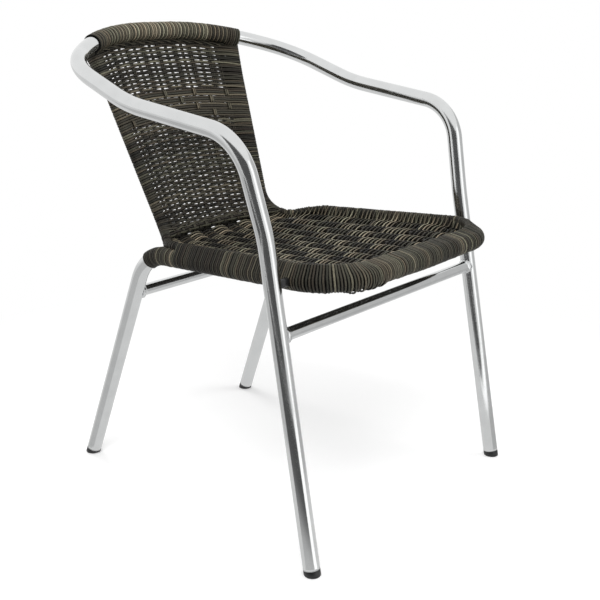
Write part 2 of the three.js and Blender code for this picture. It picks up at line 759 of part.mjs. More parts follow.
// Point of the back at a share across (-1 left, 1 right) and a share of the way down
function backPoint(across, down) {
  const edge = placeAtLength(backRodRun, crossRodLength * down).point;
  const top = placeAtLength(backRodRun, 0).point;
  const rail = placeWhere(mainRun, 'x', top.x * across).point;
  const railEnd = placeWhere(mainRun, 'x', top.x).point;
  const crown = THREE.MathUtils.lerp(rail.z - railEnd.z, 0, down);
  const bow = THREE.MathUtils.lerp(rail.y - railEnd.y, CROSS_ROD_BOW * (1 - across * across), down);
  return vec(edge.x * across, edge.y + bow, edge.z + crown);
}

function backAcross(column) {
  if (column === 0 || column === BACK_COLUMNS) {
    return column === 0 ? -1 : 1;
  }
  const inner = 1 - BACK_SIDE_BAND_SHARE * 2;
  return inner * ((2 * (column - 1)) / (BACK_COLUMNS - 2) - 1);
}

// Gap rows take a share of each row pair, the closed rows the rest
function backDown(row) {
  const pair = Math.floor(row / 2);
  const share = row % 2 === 0 ? 0 : 1 - BACK_GAP_HEIGHT_SHARE;
  return (pair + share) / (BACK_GAP_ROWS + 1 - BACK_GAP_HEIGHT_SHARE);
}

function backGap(column, row) {
  if (row % 2 === 0 || column === 0 || column === BACK_COLUMNS - 1) {
    return false;
  }
  const gapRow = (row - 1) / 2;
  if (gapRow === 0 || (gapRow >= BACK_BAND_FIRST_ROW && gapRow <= BACK_BAND_LAST_ROW)) {
    return false;
  }
  return (column + gapRow) % 2 === 0;
}

function buildWovenBack() {
  const rows = 2 * BACK_GAP_ROWS + 1;
  const pointAt = (column, row) => backPoint(backAcross(column), backDown(row));
  const sheet = sheetBody(BACK_COLUMNS, rows, pointAt, BACK_WEAVE_THICKNESS, backGap);
  const loop = sweptRound(partOfRun(backRodRun, 0, crossRodLength - CLEARANCE), ROD_WRAP_RADIUS, ROD_SIDES);
  const back = sheet.add(loop).add(mirroredSolid(loop));
  addPiece('woven_back', without(back, [topWrapCut, mainTubeCut, ...rodCuts]), wicker);
}

// Edge of the seat on the right: the line of the rim rod, from the cross rod straight on to the front rod
function seatEdgeRun() {
  const side = partOfRun(backRodRun, crossRodLength, runLength(backRodRun)).map((place) => place.point);
  const last = side[side.length - 1];
  const front = placeAtLength(frontRodRun, runLength(frontRodRun) / 2).point;
  return stationsThrough([...side, vec(last.x, front.y, front.z)]);
}

const seatEdge = seatEdgeRun();
const seatEdgeLength = runLength(seatEdge);
const seatRodDrop = RIM_ROD_RADIUS + SEAT_ROD_RADIUS + CLEARANCE;
const seatSheetBelow = (SEAT_WEAVE_THICKNESS + SEAT_WEAVE_RELIEF) / 2;
const seatSheetOverRod = seatSheetBelow + 2 * CLEARANCE + SEAT_ROD_RADIUS;

// Point of the seat's middle surface. Across runs from -1 at the left edge to 1 at the right edge
function seatPoint(across, forward) {
  const edge = placeAtLength(seatEdge, seatEdgeLength * forward).point;
  const atEdge = Math.abs(across) === 1;
  const spread = THREE.MathUtils.lerp(crossRodEnd.x, SEAT_ROD_SPREAD, forward);
  const x = across * (atEdge ? edge.x : Math.min(spread, edge.x));
  const span = 1 - (x / edge.x) ** 2;
  const rearShare = Math.max(0, 1 - (forward * SEAT_ROWS) / SEAT_REAR_BOW_ROWS);
  const bow = CROSS_ROD_BOW * span * rearShare * rearShare;
  const dish = SEAT_DISH * span * (1 - (2 * forward - 1) ** 4);
  return vec(x, edge.y + bow, edge.z + seatSheetOverRod - seatRodDrop - dish);
}

function buildWovenSeat() {
  const columns = 2 * SEAT_ROD_COUNT;
  const relief = (column, row) => {
    if (column % 2 === 1 || column === 0 || column === columns) {
      return 0;
    }
    return (column / 2 + Math.floor(row / 2)) % 2 === 0 ? SEAT_WEAVE_RELIEF : -SEAT_WEAVE_RELIEF;
  };
  const pointAt = (column, row) => {
    const point = seatPoint((2 * column) / columns - 1, row / SEAT_ROWS);
    return point.add(vec(0, 0, relief(column, row)));
  };
  const sheet = sheetBody(columns, SEAT_ROWS, pointAt, SEAT_WEAVE_THICKNESS, () => false);
  const landing = lengthWhere(backRodRun, 'y', BACK_ROD_LANDING_DEPTH);
  const loop = sweptRound(partOfRun(backRodRun, crossRodLength, landing), ROD_WRAP_RADIUS, ROD_SIDES);
  const seat = sheet.add(loop).add(mirroredSolid(loop));
  const cuts = [seatTubeCut, ...seatWrapCuts, ...rodCuts];
  addPiece('woven_seat', without(seat, cuts), wicker);
}

// Seat rods: front to back under the weave, fanning out from the cross rod
function buildSeatRods() {
  const cuts = [seatTubeCut, ...seatWrapCuts, ...rodCuts];
  const rows = [...Array(SEAT_ROWS + 1).keys()].filter((row) => row <= SEAT_REAR_BOW_ROWS || row % 3 === 0);
  const columns = 2 * SEAT_ROD_COUNT;
  const smooth = (column, row) => seatPoint((2 * column) / columns - 1, row / SEAT_ROWS);
  for (let rod = 0; rod < SEAT_ROD_COUNT; rod += 1) {
    const column = 2 * rod + 1;
    const points = rows.map((row) => {
      const down = sheetNormal(smooth, columns, SEAT_ROWS, column, row);
      return smooth(column, row).addScaledVector(down, seatSheetOverRod);
    });
    const bar = sweptRound(stationsThrough(points), SEAT_ROD_RADIUS, THIN_ROD_SIDES);
    addPiece(`seat_rod_${rod + 1}`, without(bar, cuts), brownMetal);
  }
}

// Foot plug: a stem in the tube's bore and a head as wide as the tube, cut level with the floor
function buildFoot(foot, corner) {
  const axis = corner.clone().sub(foot).normalize();
  const seat = FOOT_HEAD_HEIGHT / axis.z - CLEARANCE;
  const stem = (TUBE_RADIUS - TUBE_WALL) * Math.cos(Math.PI / TUBE_SIDES) - CLEARANCE;
  const profile = [
    [0, -TUBE_DIAMETER], [TUBE_RADIUS, -TUBE_DIAMETER], [TUBE_RADIUS, seat],
    [stem, seat], [stem, seat + FOOT_STEM_LENGTH - FOOT_EDGE_ROUND],
    [stem - FOOT_EDGE_ROUND, seat + FOOT_STEM_LENGTH], [0, seat + FOOT_STEM_LENGTH],
  ];
  return turnedBody(profile, foot, axis).trimByPlane([0, 0, 1], 0);
}

// Bolt, spacer and threaded insert that hold the seat tube to a front leg
function buildFixings() {
  const rail = bolt.rail.point;
  const leg = bolt.leg.point;
  const head = TUBE_RADIUS + CLEARANCE;
  const insertStart = leg.x - TUBE_RADIUS + TUBE_WALL / 2 + CLEARANCE;
  const end = insertStart + INSERT_LENGTH - rail.x;
  const shank = BOLT_DIAMETER / 2;
  const screw = turnedBody([
    [0, -head - BOLT_HEAD_HEIGHT], [BOLT_HEAD_DIAMETER / 2, -head - BOLT_HEAD_HEIGHT],
    [BOLT_HEAD_DIAMETER / 2, -head], [shank, -head], [shank, end], [0, end],
  ], rail, boltAxis);
  addPair('seat_bolt', screw, steel);
  const spacer = turnedBody(closedProfile([
    [boltHoleRadius, 0], [SPACER_DIAMETER / 2, 0],
    [SPACER_DIAMETER / 2, leg.x - rail.x], [boltHoleRadius, leg.x - rail.x],
  ]), rail, boltAxis);
  addPair('spacer', without(spacer, [seatTubeCut, mainTubeCut]), blackPlastic);
  const insert = turnedBody(closedProfile([
    [boltHoleRadius, 0], [INSERT_DIAMETER / 2, 0],
    [INSERT_DIAMETER / 2, INSERT_LENGTH], [boltHoleRadius, INSERT_LENGTH],
  ]), vec(insertStart, rail.y, rail.z), boltAxis);
  addPair('leg_insert', insert, steel);
}

buildMainTube();
buildSeatTube();
buildStretcher('front_stretcher', mainRun, FRONT_STRETCHER_HEIGHT);
buildStretcher('rear_stretcher', seatRun, REAR_STRETCHER_HEIGHT);
buildRimRods();
buildSeatRods();
buildWraps();
buildWovenBack();
buildWovenSeat();
addPair('front_foot', buildFoot(frontFoot, knee), blackPlastic);
addPair('rear_foot', buildFoot(rearFoot, seatRear), blackPlastic);
buildFixings();

// The origin lies on the floor under the middle of the chair's depth
const extent = new THREE.Box3().setFromObject(chair);
chair.position.y = -(extent.min.y + extent.max.y) / 2;

export default chair;
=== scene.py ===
import math

import bpy
import numpy as np
from mathutils import Matrix


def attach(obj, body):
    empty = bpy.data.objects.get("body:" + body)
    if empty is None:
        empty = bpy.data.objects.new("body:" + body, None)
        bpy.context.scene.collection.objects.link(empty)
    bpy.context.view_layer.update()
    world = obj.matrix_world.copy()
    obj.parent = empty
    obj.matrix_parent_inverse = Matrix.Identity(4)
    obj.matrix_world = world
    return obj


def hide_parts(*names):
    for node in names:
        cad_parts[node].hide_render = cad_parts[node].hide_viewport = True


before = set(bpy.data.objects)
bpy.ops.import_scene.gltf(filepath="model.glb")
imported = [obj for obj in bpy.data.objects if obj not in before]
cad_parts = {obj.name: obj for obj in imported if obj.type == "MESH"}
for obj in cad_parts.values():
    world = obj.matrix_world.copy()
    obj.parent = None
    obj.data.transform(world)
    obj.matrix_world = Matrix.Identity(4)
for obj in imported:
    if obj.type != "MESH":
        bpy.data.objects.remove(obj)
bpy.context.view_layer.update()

MM = 0.001
ORIGIN_DEPTH = 16.0
ALONG_X = np.array([1.0, 0.0, 0.0])
FORWARD = np.array([0.0, -1.0, 0.0])
UP = np.array([0.0, 0.0, 1.0])
LEANING_UP = np.array([0.1, 0.0, 1.0])
SIDES = (("right", 1.0), ("left", -1.0))
random = np.random.default_rng(7)

# Main tube: front legs, arms and back top rail
TUBE_RADIUS = 12.5
FRONT_FOOT = (252.5, -263.5, 0.0)
KNEE = (246.0, -176.0, 474.0)
ARM_FRONT = (261.5, -145.0, 612.0)
ARM_MIDDLE = (265.5, 72.0, 642.0)
ARM_REAR = (257.0, 204.0, 690.0)
TOP_RAIL = (135.0, 300.0, 734.0)
MAIN_RADII = (285.0, 78.0, 280.0, 115.0, 295.0)

# Seat tube: rear legs, side rails and front rail
REAR_FOOT = (200.5, 298.0, 0.0)
SEAT_REAR = (185.0, 142.5, 394.0)
SEAT_FRONT = (207.0, -268.0, 417.0)
SEAT_RADII = (76.0, 74.0)

# Feet, stretchers and bolts
FOOT_HEAD = 9.0
FOOT_ROUND = 1.2
FOOT_EASE = 0.3
FOOT_TOP_ROUND = 0.48
CENTRE_RADIUS = 0.01
BAR_RADIUS = 9.5
BAR_END_SHARE = 0.4
FRONT_STRETCHER_HEIGHT = 343.0
REAR_STRETCHER_HEIGHT = 323.0
FILLET = 3.0
FILLET_POWER = 2.2
BEAD_RADIUS = 1.5
BEAD_REST = 0.8
RIPPLES = 17
RIPPLE = 0.22
RIPPLE_SPREAD = 0.1
HEAD_RADIUS = 6.0
HEAD_HEIGHT = 3.6
HEAD_EDGE = 0.6
BOLT_RADIUS = 3.0
SPACER_RADIUS = 6.5
SPACER_SEAT = 0.6

# Rods that carry the weave
RIM_RADIUS = 5.0
SEAT_ROD_RADIUS = 3.0
ROD_GAP = 0.3
HALF_WIDTH = 165.0
ROD_TOP_BEHIND = 12.0
ROD_TOP_DROP = 3.0
HEEL = (123.5, 156.5, 397.0)
HEEL_RADIUS = 54.0
LANDING_DEPTH = 88.0
LANDING_RADIUS = 85.0
LANDED_DEPTH = 60.0
ROD_END_DEPTH = -172.0
SIDE_TILT = math.radians(8.0)
FRONT_TILT = math.radians(55.0)
FRONT_ROD_END_DEPTH = -200.0
CROSS_ROD_BOW = 20.0
CROSS_ROD_PAST_HEEL = 6.0
SEAT_ROD_COUNT = 9
SEAT_ROD_SPREAD = 157.5
SEAT_DISH = 13.0
SEAT_SURFACE_DROP = 2.6
SEAT_ROD_DROP = 5.7
REAR_BOW_SHARE = 5.0 / 14.0

# Strand and the wraps round the tubes. Tones run from 0 for dark to 1 for light. The second
# number of a tone is its spread, and a list has shares of the way along a wrap with the tones
# there. Slack and sag have a height, a place and a spread
THICKNESS = 2.6
STRAND_FULLNESS = 0.9
MIDDLE_TINT = 0.5
WRAP_PITCH = 4.2
WRAP_BEAT = 0.04
TURN_LEAD = 0.1
TURN_JITTER = 0.16
TURN_LOOSE = 0.16
TURN_COVER = (0.99, 0.04)
# The lining is a dark sleeve under each wrap, painted shade for the grooves between its turns
GROOVE_SHADE_LINING = 0.35
GROOVE_SHADE_LINING_STEP = 5.0
LIGHT_TONE = (0.72, 0.06)
TOP_BEAT = 0.13
TOP_LEFT_END = 171.0
TOP_RIGHT_END = 166.5
TOP_LIGHT_TONE = (0.92, 0.06)
TOP_TONES = [(0.0, 0.5), (0.11, 0.5), (0.15, 0.76), (0.55, 0.8), (0.85, 0.72), (1.0, 0.62)]
LASHING_LENGTH = 25.0
LASHING_TILT = math.radians(158.0)
SIDE_WRAP_START = 132.0
SIDE_TONES = [(0.0, 0.36), (0.38, 0.34), (0.46, 0.52), (1.0, 0.44)]
FRONT_TONES = [
    (0.0, 0.34), (0.1, 0.36), (0.16, 0.42), (0.4, 0.42), (0.5, 0.52),
    (0.6, 0.6), (0.76, 0.64), (0.84, 0.54), (0.92, 0.44), (1.0, 0.38),
]
SLACK = (7.0, 0.8, 0.1)
SAG = (2.4, 0.5, 0.17)

# Back weave: rows. Openness is a share of the widest gaps, at lengths down the back rod
TOP_PITCH = 3.7
LOW_PITCH = 4.2
FIRST_ROW = 20.5
ROW_COVER = 1.12
BACK_THICKNESS = 2.3
BACK_SLANT = 0.22
DENSE_TOP_ROWS = (9.5, 12.6, 15.7, 18.6)
DENSE_HEEL = 3.0
DENSE_PITCH = 3.4
DENSE_TONE_DROP = 0.08
PAIR_DRAW = 1.12
PAIR_SHARPNESS = 1.7
OPENNESS_PLACES = (0.0, 90.0, 160.0, 230.0, 290.0, 330.0)
OPENNESS = (1.0, 0.88, 0.42, 0.44, 0.7, 0.93)
EDGE_PAST_STAKE = 4.0
EDGE_FADE = 0.4
EDGE_FADE_START = 5.2
EDGE_FADE_LENGTH = 1.2
ROW_JITTER = 0.15
ROW_TONE = (0.42, 0.14)
LIGHT_ROW_CHANCE = 0.1
LIGHT_ROW_LIFT = 0.2

# Back weave: the brick band, with its spans counted in stakes
BRICK_START = 101.3
BRICK_ROWS = 4
BRICK_STRANDS = 3
BRICK_PITCH = 4.17
BRICK_TIGHTNESS = 0.97
BRICK_ROUND = 0.9
BRICK_BULGE = 2.4
BRICK_BULGE_SPAN = 1.3
BRICK_DEPTH = -0.2
BRICK_DRAW = 0.45
BRICK_DRAW_SPAN = 0.8
BRICK_TONE = (0.46, 0.08)

# Back weave: stakes and the twist along the top
STAKE_COUNT = 15
MIDDLE_STAKE = (STAKE_COUNT - 1) / 2
STAKE_SPACING = 18.6
STAKE_WIDTH = 3.7
STAKE_SPLIT = 1.9
STAKE_THICKNESS = 2.0
STAKE_OFFSET = 1.5
STAKE_START = 8.0
STAKE_STOP = 9.0
STAKE_TURN = (62.0, -125.0)
STAKE_REST = 0.5
STAKE_BEHIND_BAND = 1.8
BAND_FADE = 4.0
TIE_DEPTH = 3.0
TIE_HALF = 0.36
TIE_FADE = 0.16
STAKE_TONE = (0.45, 0.06)
STAKE_END_LIGHT = 0.08
# Tone lift where a stake comes forward to tie a brick: a painted highlight
TIE_PAINTED_HIGHLIGHT = 0.24
TWIST_LENGTH = 16.5
TWIST_SHARE = 0.97
TWIST_PITCH = 44.0
TWIST_BOW = 1.5
TWIST_SWING = 2.1
TWIST_REST = 1.2
TWIST_DEPTH = 1.8
TWIST = {"width": 4.2, "thickness": 2.6, "tone": 0.6}

# Back weave: loops round the side rods, and the heel round the cross rod. Its rows take turns
# between the two heel tones
LOOP_REACH = 6.2
TOP_LOOP_REACH = 8.6
TOP_LOOP_BEHIND = 17.0
LOOP_TAPER = 70.0
LOOP_STEP = 0.5
LOOP_SIDE = 0.97
LOOP_RISE = 0.25
LOOP_TUCK = 0.8
LOOP_SWAY = 0.4
HEEL_ROW_ANGLES = (70.0, 35.0, 0.0, -33.0, -62.0, -92.0, -122.0)
HEEL_ROW_STEP = 35.0
HEEL_WIDTH = 4.1
HEEL_SHARE = 0.985
HEEL_SWING = 1.5
HEEL_TONES = (0.6, 0.34)
HEEL_TONE_SPREAD = 0.05
HEEL_WRAP_TONES = [(0.0, 0.34), (1.0, 0.4)]
HEEL_WRAP_PITCH = 3.9
HEEL_WRAP_LOOSE = 0.45

# Seat weave
SEAT_FIRST_ROW = 1.0
SEAT_ROW_PITCH = 4.0
SEAT_ROW_JITTER = 0.25
SEAT_DENSE_PITCH = 2.6
SEAT_DENSE_LENGTH = 34.0
SEAT_GROUP = 6
SEAT_STRAND_WIDTH = 3.6
SEAT_THICKNESS = 2.3
SEAT_LIGHT_TONE = (0.76, 0.15)
SEAT_DARK_TONE = (0.36, 0.15)
SEAT_PALE_CHANCE = 0.06
SEAT_PALE_LIFT = 0.15
SEAT_RIM_TONE = 0.46
SEAT_RIM_EVENNESS = 0.65
SEAT_RIM_RISE = 20.0
# The return layer's tone is darker than the rows above it: painted shade under the seat
SEAT_RETURN = {"width": 4.1, "thickness": 1.4, "tone": 0.2}
SEAT_FRONT_STOP = 6.0

# Camera of the photograph. Its angles are azimuth, elevation and roll
CAMERA_PLACE = (-1188.4, -1038.1, 782.8)
CAMERA_ANGLES = np.radians((49.6, 17.06, -0.15))
CAMERA_FOCAL_PIXELS = 974.2
IMAGE_PIXELS = 600.0
SENSOR_WIDTH = 36.0

# Floor, cards and lights, in metres
FLOOR_SIZE = 80.0
FLOOR_DROP = 0.0005
FLOOR_GLOW = 0.3
FLOOR_FADE = (0.45, 1.1)
FLOOR_IN_METAL = 0.8
FAN_START = 0.03
FAN_REACH = 2.2
CARD_ELEVATION = math.radians(10.0)
CARD_HEIGHT = 2.4
CARD_AIM = 0.45
LIGHT_SIZE = 1.6
LIGHT_AIM = 0.4
AMBIENT_STRENGTH = 0.6

# Fineness of runs and meshes
BEND_STEP = math.radians(0.8)
POINT_GAP = 0.3
SEARCH_SAMPLES = 4000
BAR_STEP = 4.0
TUBE_SIDES = 40
ROD_SIDES = 16
SEAT_ROD_SIDES = 12
FIXING_SIDES = 32
STRAND_SIDES = 8
FILLET_STEPS = 6
BEAD_STEPS = 72
BEAD_SIDES = 10
TURN_STEPS = 26
EDGE_SAMPLES = 120
ROW_SAMPLES = 150
LOOP_SAMPLES = 11


def unit(v):
    v = np.asarray(v, float)
    return v / np.linalg.norm(v, axis=-1, keepdims=True)


def mirrored(points):
    return np.asarray(points, float) * [-1.0, 1.0, 1.0]


# A number drawn about a middle, with a spread
def drawn(middle, spread):
    return middle + spread * random.standard_normal()


def smooth(x):
    x = np.clip(x, 0.0, 1.0)
    return x * x * (3.0 - 2.0 * x)


# A centre line with its directions, read by length
class Run:
    def __init__(self, points, tangents=None):
        self.points = np.asarray(points, float)
        self.tangents = unit(np.gradient(self.points, axis=0) if tangents is None else tangents)
        steps = np.linalg.norm(np.diff(self.points, axis=0), axis=1)
        self.lengths = np.concatenate([[0.0], np.cumsum(steps)])
        self.length = self.lengths[-1]

    def at(self, s):
        point, tangent = [
            np.stack([np.interp(s, self.lengths, column) for column in rows.T], -1)
            for rows in (self.points, self.tangents)
        ]
        return point, unit(tangent)

    def where(self, axis, value):
        c = self.points[:, axis]
        crosses = ((c[:-1] - value) * (c[1:] - value) <= 0) & (c[:-1] != c[1:])
        i = np.nonzero(crosses)[0][0]
        share = (value - c[i]) / (c[i + 1] - c[i])
        return self.lengths[i] + share * (self.lengths[i + 1] - self.lengths[i])

    def nearest(self, point):
        s = np.linspace(0.0, self.length, SEARCH_SAMPLES)
        return s[np.argmin(np.linalg.norm(self.at(s)[0] - point, axis=1))]

    def frames(self, s):
        point, tangent = self.at(s)
        inward = unit(np.cross(tangent, UP))
        return point, tangent, inward, np.cross(inward, tangent)


# Centre line with round bends at its inner corners
def bend_run(corners, radii):
    corners = [np.array(corner, float) for corner in corners]
    legs = [b - a for a, b in zip(corners, corners[1:])]
    ways = [unit(leg) for leg in legs]
    turns = [math.acos(np.clip(a @ b, -1.0, 1.0)) for a, b in zip(ways, ways[1:])]
    wanted = [0.0] + [r * math.tan(t / 2) for r, t in zip(radii, turns)] + [0.0]
    cuts = list(wanted)
    for i, leg in enumerate(legs):
        share = min(1.0, np.linalg.norm(leg) / (wanted[i] + wanted[i + 1]))
        cuts[i] = min(cuts[i], wanted[i] * share)
        cuts[i + 1] = min(cuts[i + 1], wanted[i + 1] * share)
    points, tangents = [corners[0]], [ways[0]]

    def add(point, tangent):
        if np.linalg.norm(point - points[-1]) > POINT_GAP:
            points.append(point)
            tangents.append(tangent)

    for i, turn in enumerate(turns):
        radius = cuts[i + 1] / math.tan(turn / 2)
        start = corners[i + 1] - ways[i] * cuts[i + 1]
        inward = unit(ways[i + 1] - ways[i] * math.cos(turn))
        count = max(2, math.ceil(turn / BEND_STEP))
        for k in range(count + 1):
            a = turn * k / count
            bend = ways[i] * radius * math.sin(a) + inward * radius * (1 - math.cos(a))
            add(start + bend, ways[i] * math.cos(a) + inward * math.sin(a))
    add(corners[-1], ways[-1])
    return Run(points, tangents)


def leg_end(foot, corner):
    axis = unit(np.subtract(corner, foot))
    return np.array(foot, float) + axis * FOOT_HEAD / axis[2]


def mirrored_run(foot, corners, radii):
    half = np.array([leg_end(foot, corners[0]), *corners], float)
    return bend_run([*half, *mirrored(half)[::-1]], [*radii, *radii[::-1]])


main_corners = (KNEE, ARM_FRONT, ARM_MIDDLE, ARM_REAR, TOP_RAIL)
main_run = mirrored_run(FRONT_FOOT, main_corners, MAIN_RADII)
seat_run = mirrored_run(REAR_FOOT, (SEAT_REAR, SEAT_FRONT), SEAT_RADII)


def beside_rail(s, tilt):
    point, _, inward, up = seat_run.frames(s)
    reach = TUBE_RADIUS + RIM_RADIUS + ROD_GAP
    tilt = np.asarray(tilt)[..., None]
    return point + reach * (inward * np.sin(tilt) + up * np.cos(tilt))


landing_length = seat_run.where(1, LANDING_DEPTH)
landed_length = seat_run.where(1, LANDED_DEPTH)
front_bend_start = seat_run.where(1, FRONT_ROD_END_DEPTH)
front_bend_end = front_bend_start + SEAT_RADII[1] * math.pi / 2
rail_at_rod = main_run.at(main_run.where(0, HALF_WIDTH))[0]
back_run = bend_run(
    [
        rail_at_rod + [0.0, ROD_TOP_BEHIND, -ROD_TOP_DROP],
        HEEL,
        beside_rail(landing_length, SIDE_TILT),
        beside_rail(seat_run.where(1, ROD_END_DEPTH), SIDE_TILT),
    ],
    (HEEL_RADIUS, LANDING_RADIUS),
)


# Tilt of the rim rod about the seat tube: nearly on top at the sides, and over the inner side of
# the tube along the front
def rim_tilt(s):
    from_end = np.minimum(s, seat_run.length - s)
    share = np.clip((from_end - front_bend_start) / (front_bend_end - front_bend_start), 0.0, 1.0)
    return SIDE_TILT + (FRONT_TILT - SIDE_TILT) * share


front_ends = (front_bend_start, seat_run.length - front_bend_start)
front_lengths = np.linspace(*front_ends, EDGE_SAMPLES)
front_run = Run(beside_rail(front_lengths, rim_tilt(front_lengths)))

heel_length = back_run.nearest(np.array(HEEL)) + CROSS_ROD_PAST_HEEL
cross_rod_end = back_run.at(heel_length)[0]


def cross_rod_points(share):
    bow = CROSS_ROD_BOW * (1.0 - share * share)
    x = cross_rod_end[0] * share
    return np.stack([x, cross_rod_end[1] + bow, cross_rod_end[2] + 0.0 * share], -1)


# Meshes


# From millimetres about the chair to metres in the shared frame
def placed(points):
    return (np.asarray(points, float) - [0.0, ORIGIN_DEPTH, 0.0]) * MM


def add_mesh(name, vertices, faces, material):
    mesh = bpy.data.meshes.new(name)
    mesh.from_pydata(vertices, [], faces)
    mesh.materials.append(material)
    obj = bpy.data.objects.new(name, mesh)
    bpy.context.scene.collection.objects.link(obj)
    return obj


def smooth_object(name, vertices, faces, material):
    obj = add_mesh(name, placed(vertices).tolist(), faces, material)
    obj.data.polygons.foreach_set("use_smooth", [True] * len(faces))
    obj.data.update()
    return obj


# Closed solid from rings of points, one ring after another
def ring_object(name, rings, material):
    faces = ring_faces(*rings.shape[:2])
    return smooth_object(name, rings.reshape(-1, 3), faces, material)


def dress(obj, slot, *nodes):
    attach(obj, "root")
    if nodes:
        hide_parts(*nodes)


def ring_faces(rings, sides, base=0):
    ring, side = np.meshgrid(np.arange(rings - 1), np.arange(sides), indexing="ij")
    a = base + ring * sides + side
    b = base + ring * sides + (side + 1) % sides
    quads = np.stack([a, b, b + sides, a + sides], -1).reshape(-1, 4)
    first = base + np.arange(sides)[::-1]
    last = base + (rings - 1) * sides + np.arange(sides)
    return quads.tolist() + [first.tolist(), last.tolist()]


def circle(sides, offset=0.0):
    return 2 * math.pi * (np.arange(sides) + offset) / sides


# Directions all round a line, from two directions square to it
def all_round(across, rise, angle):
    across, rise = across[..., None, :], rise[..., None, :]
    return across * np.cos(angle)[:, None] + rise * np.sin(angle)[:, None]


# Two directions square to an axis that isn't quite upright
def square_to(axis):
    across = unit(np.cross(axis, UP))
    return across, np.cross(axis, across)


# Frames along a line that turn as little as they can
def steady_frames(points, tangents):
    across = [unit(np.cross(tangents[0], LEANING_UP))]
    for tangent in tangents[1:]:
        across.append(unit(across[-1] - tangent * (across[-1] @ tangent)))
    across = np.array(across)
    return across, np.cross(tangents, across)


def round_bar(name, run, radius, sides, material):
    s = np.linspace(0.0, run.length, max(2, int(run.length / BAR_STEP)) + 1)
    points, tangents = run.at(s)
    ring = all_round(*steady_frames(points, tangents), circle(sides))
    return ring_object(name, points[:, None] + ring * radius, material)


# Turned solid from pairs of radius and place along its axis
def turned(name, profile, origin, axis, sides, material):
    ring = all_round(*square_to(axis), circle(sides))
    radii, places = np.array(profile, float).T[:, :, None, None]
    return ring_object(name, origin + places * axis + radii * ring, material)


# Share of a strand's half width or half thickness: a flat oval, fuller than an ellipse
def flattened(share):
    return np.sign(share) * np.abs(share) ** STRAND_FULLNESS


# Strands of one woven piece, gathered into one mesh with a tone and a tint for each strand
class Strands:
    def __init__(self):
        self.vertices, self.faces = [], []
        self.marks = {"tone": [], "tint": [], "crown": []}
        self.count = 0

    def lay(self, path, outward, width, thickness, tone):
        path = np.asarray(path, float)
        tangent = unit(np.gradient(path, axis=0))
        side = unit(np.cross(tangent, outward))
        normal = np.cross(side, tangent)
        angle = circle(STRAND_SIDES, 0.5)
        flat, crown = flattened(np.cos(angle)), flattened(np.sin(angle))
        ring = side[:, None] * (width / 2 * flat[:, None])
        ring = ring + normal[:, None] * (thickness / 2 * crown[:, None])
        # The crown mark, high on the strand's faces and low at its sides, carries the painted
        # shade and painted highlight of the strand material
        self.add(path, ring, np.abs(np.sin(angle)), tone, random.random())

    # Dark sleeve under the turns of a wrap: painted shade, so the grooves between turns read dark
    def line(self, points, tangents, radius):
        ring = all_round(*steady_frames(points, tangents), circle(TUBE_SIDES))
        self.add(points, ring * radius, np.zeros(TUBE_SIDES), 0.0, MIDDLE_TINT)

    def add(self, path, ring, crown, tone, tint):
        sides = ring.shape[1]
        self.vertices.append((path[:, None] + ring).reshape(-1, 3))
        self.faces += ring_faces(len(path), sides, self.count)
        self.count += len(path) * sides
        tone = np.clip(np.broadcast_to(tone, len(path)), 0.0, 1.0)
        self.marks["tone"].append(np.repeat(tone, sides))
        self.marks["tint"].append(np.full(len(path) * sides, tint))
        self.marks["crown"].append(np.tile(crown, len(path)))
        # One more draw for each strand, which keeps the order of all the later draws
        random.random()

    def finish(self, name, slot, node):
        obj = smooth_object(name, np.concatenate(self.vertices), self.faces, wicker)
        for label, values in self.marks.items():
            data = obj.data.attributes.new(label, "FLOAT", "POINT").data
            data.foreach_set("value", np.concatenate(values))
        dress(obj, slot, node)


# Materials


# Nodes of a material or of the world, each added with its inputs set or linked
class Nodes:
    def __init__(self, owner):
        owner.use_nodes = True
        self.owner, self.tree = owner, owner.node_tree

    def feed(self, node, inputs):
        for key, source in inputs.items():
            if isinstance(source, bpy.types.NodeSocket):
                self.tree.links.new(source, node.inputs[key])
            else:
                node.inputs[key].default_value = source
        return node

    def add(self, kind, output, inputs, **settings):
        node = self.tree.nodes.new(f"ShaderNode{kind}")
        for name, value in settings.items():
            setattr(node, name, value)
        return self.feed(node, inputs).outputs[output]

    def place(self):
        return self.add("TexCoord", "Object", {})

    def ray(self, kind):
        return self.add("LightPath", f"Is {kind} Ray", {})

    def attribute(self, name):
        return self.add("Attribute", "Fac", {}, attribute_name=name)

    def noise(self, scale, detail):
        inputs = {"Scale": scale, "Detail": detail, "Vector": self.place()}
        return self.add("TexNoise", "Fac", inputs)

    def ramp(self, value, stops):
        colour = self.add("ValToRGB", "Color", {"Fac": value})
        elements = colour.node.color_ramp.elements
        while len(elements) < len(stops):
            elements.new(0.5)
        for element, (place, tone) in zip(elements, stops):
            element.position = place
            element.color = (*tone, 1.0)
        return colour

    def bump(self, height, strength, distance):
        inputs = {"Height": height, "Strength": strength, "Distance": distance}
        return self.add("Bump", "Normal", inputs)

    def glow(self, strength):
        return self.add("Emission", "Emission", {"Strength": strength})

    def mix(self, share, first, second):
        return self.add("MixShader", "Shader", {0: share, 1: first, 2: second})

    def shade(self, inputs):
        return self.feed(self.tree.nodes["Principled BSDF"], inputs).outputs["BSDF"]

    # Ends the tree with a shader, and gives back the material or world
    def end(self, shader, output="Material Output"):
        self.feed(self.tree.nodes[output], {"Surface": shader})
        return self.owner


def new_nodes(name):
    return Nodes(bpy.data.materials.new(name))


# Linear colour from the usual levels of 0 to 255
def srgb(*levels):
    shares = [level / 255.0 for level in levels]
    return tuple(c / 12.92 if c < 0.0404 else ((c + 0.055) / 1.055) ** 2.4 for c in shares)


def grey(value):
    return (value, value, value)


# Stops that cross from one colour to another over the middle of a noise
def between(first, last):
    return [(0.3, first), (0.7, last)]


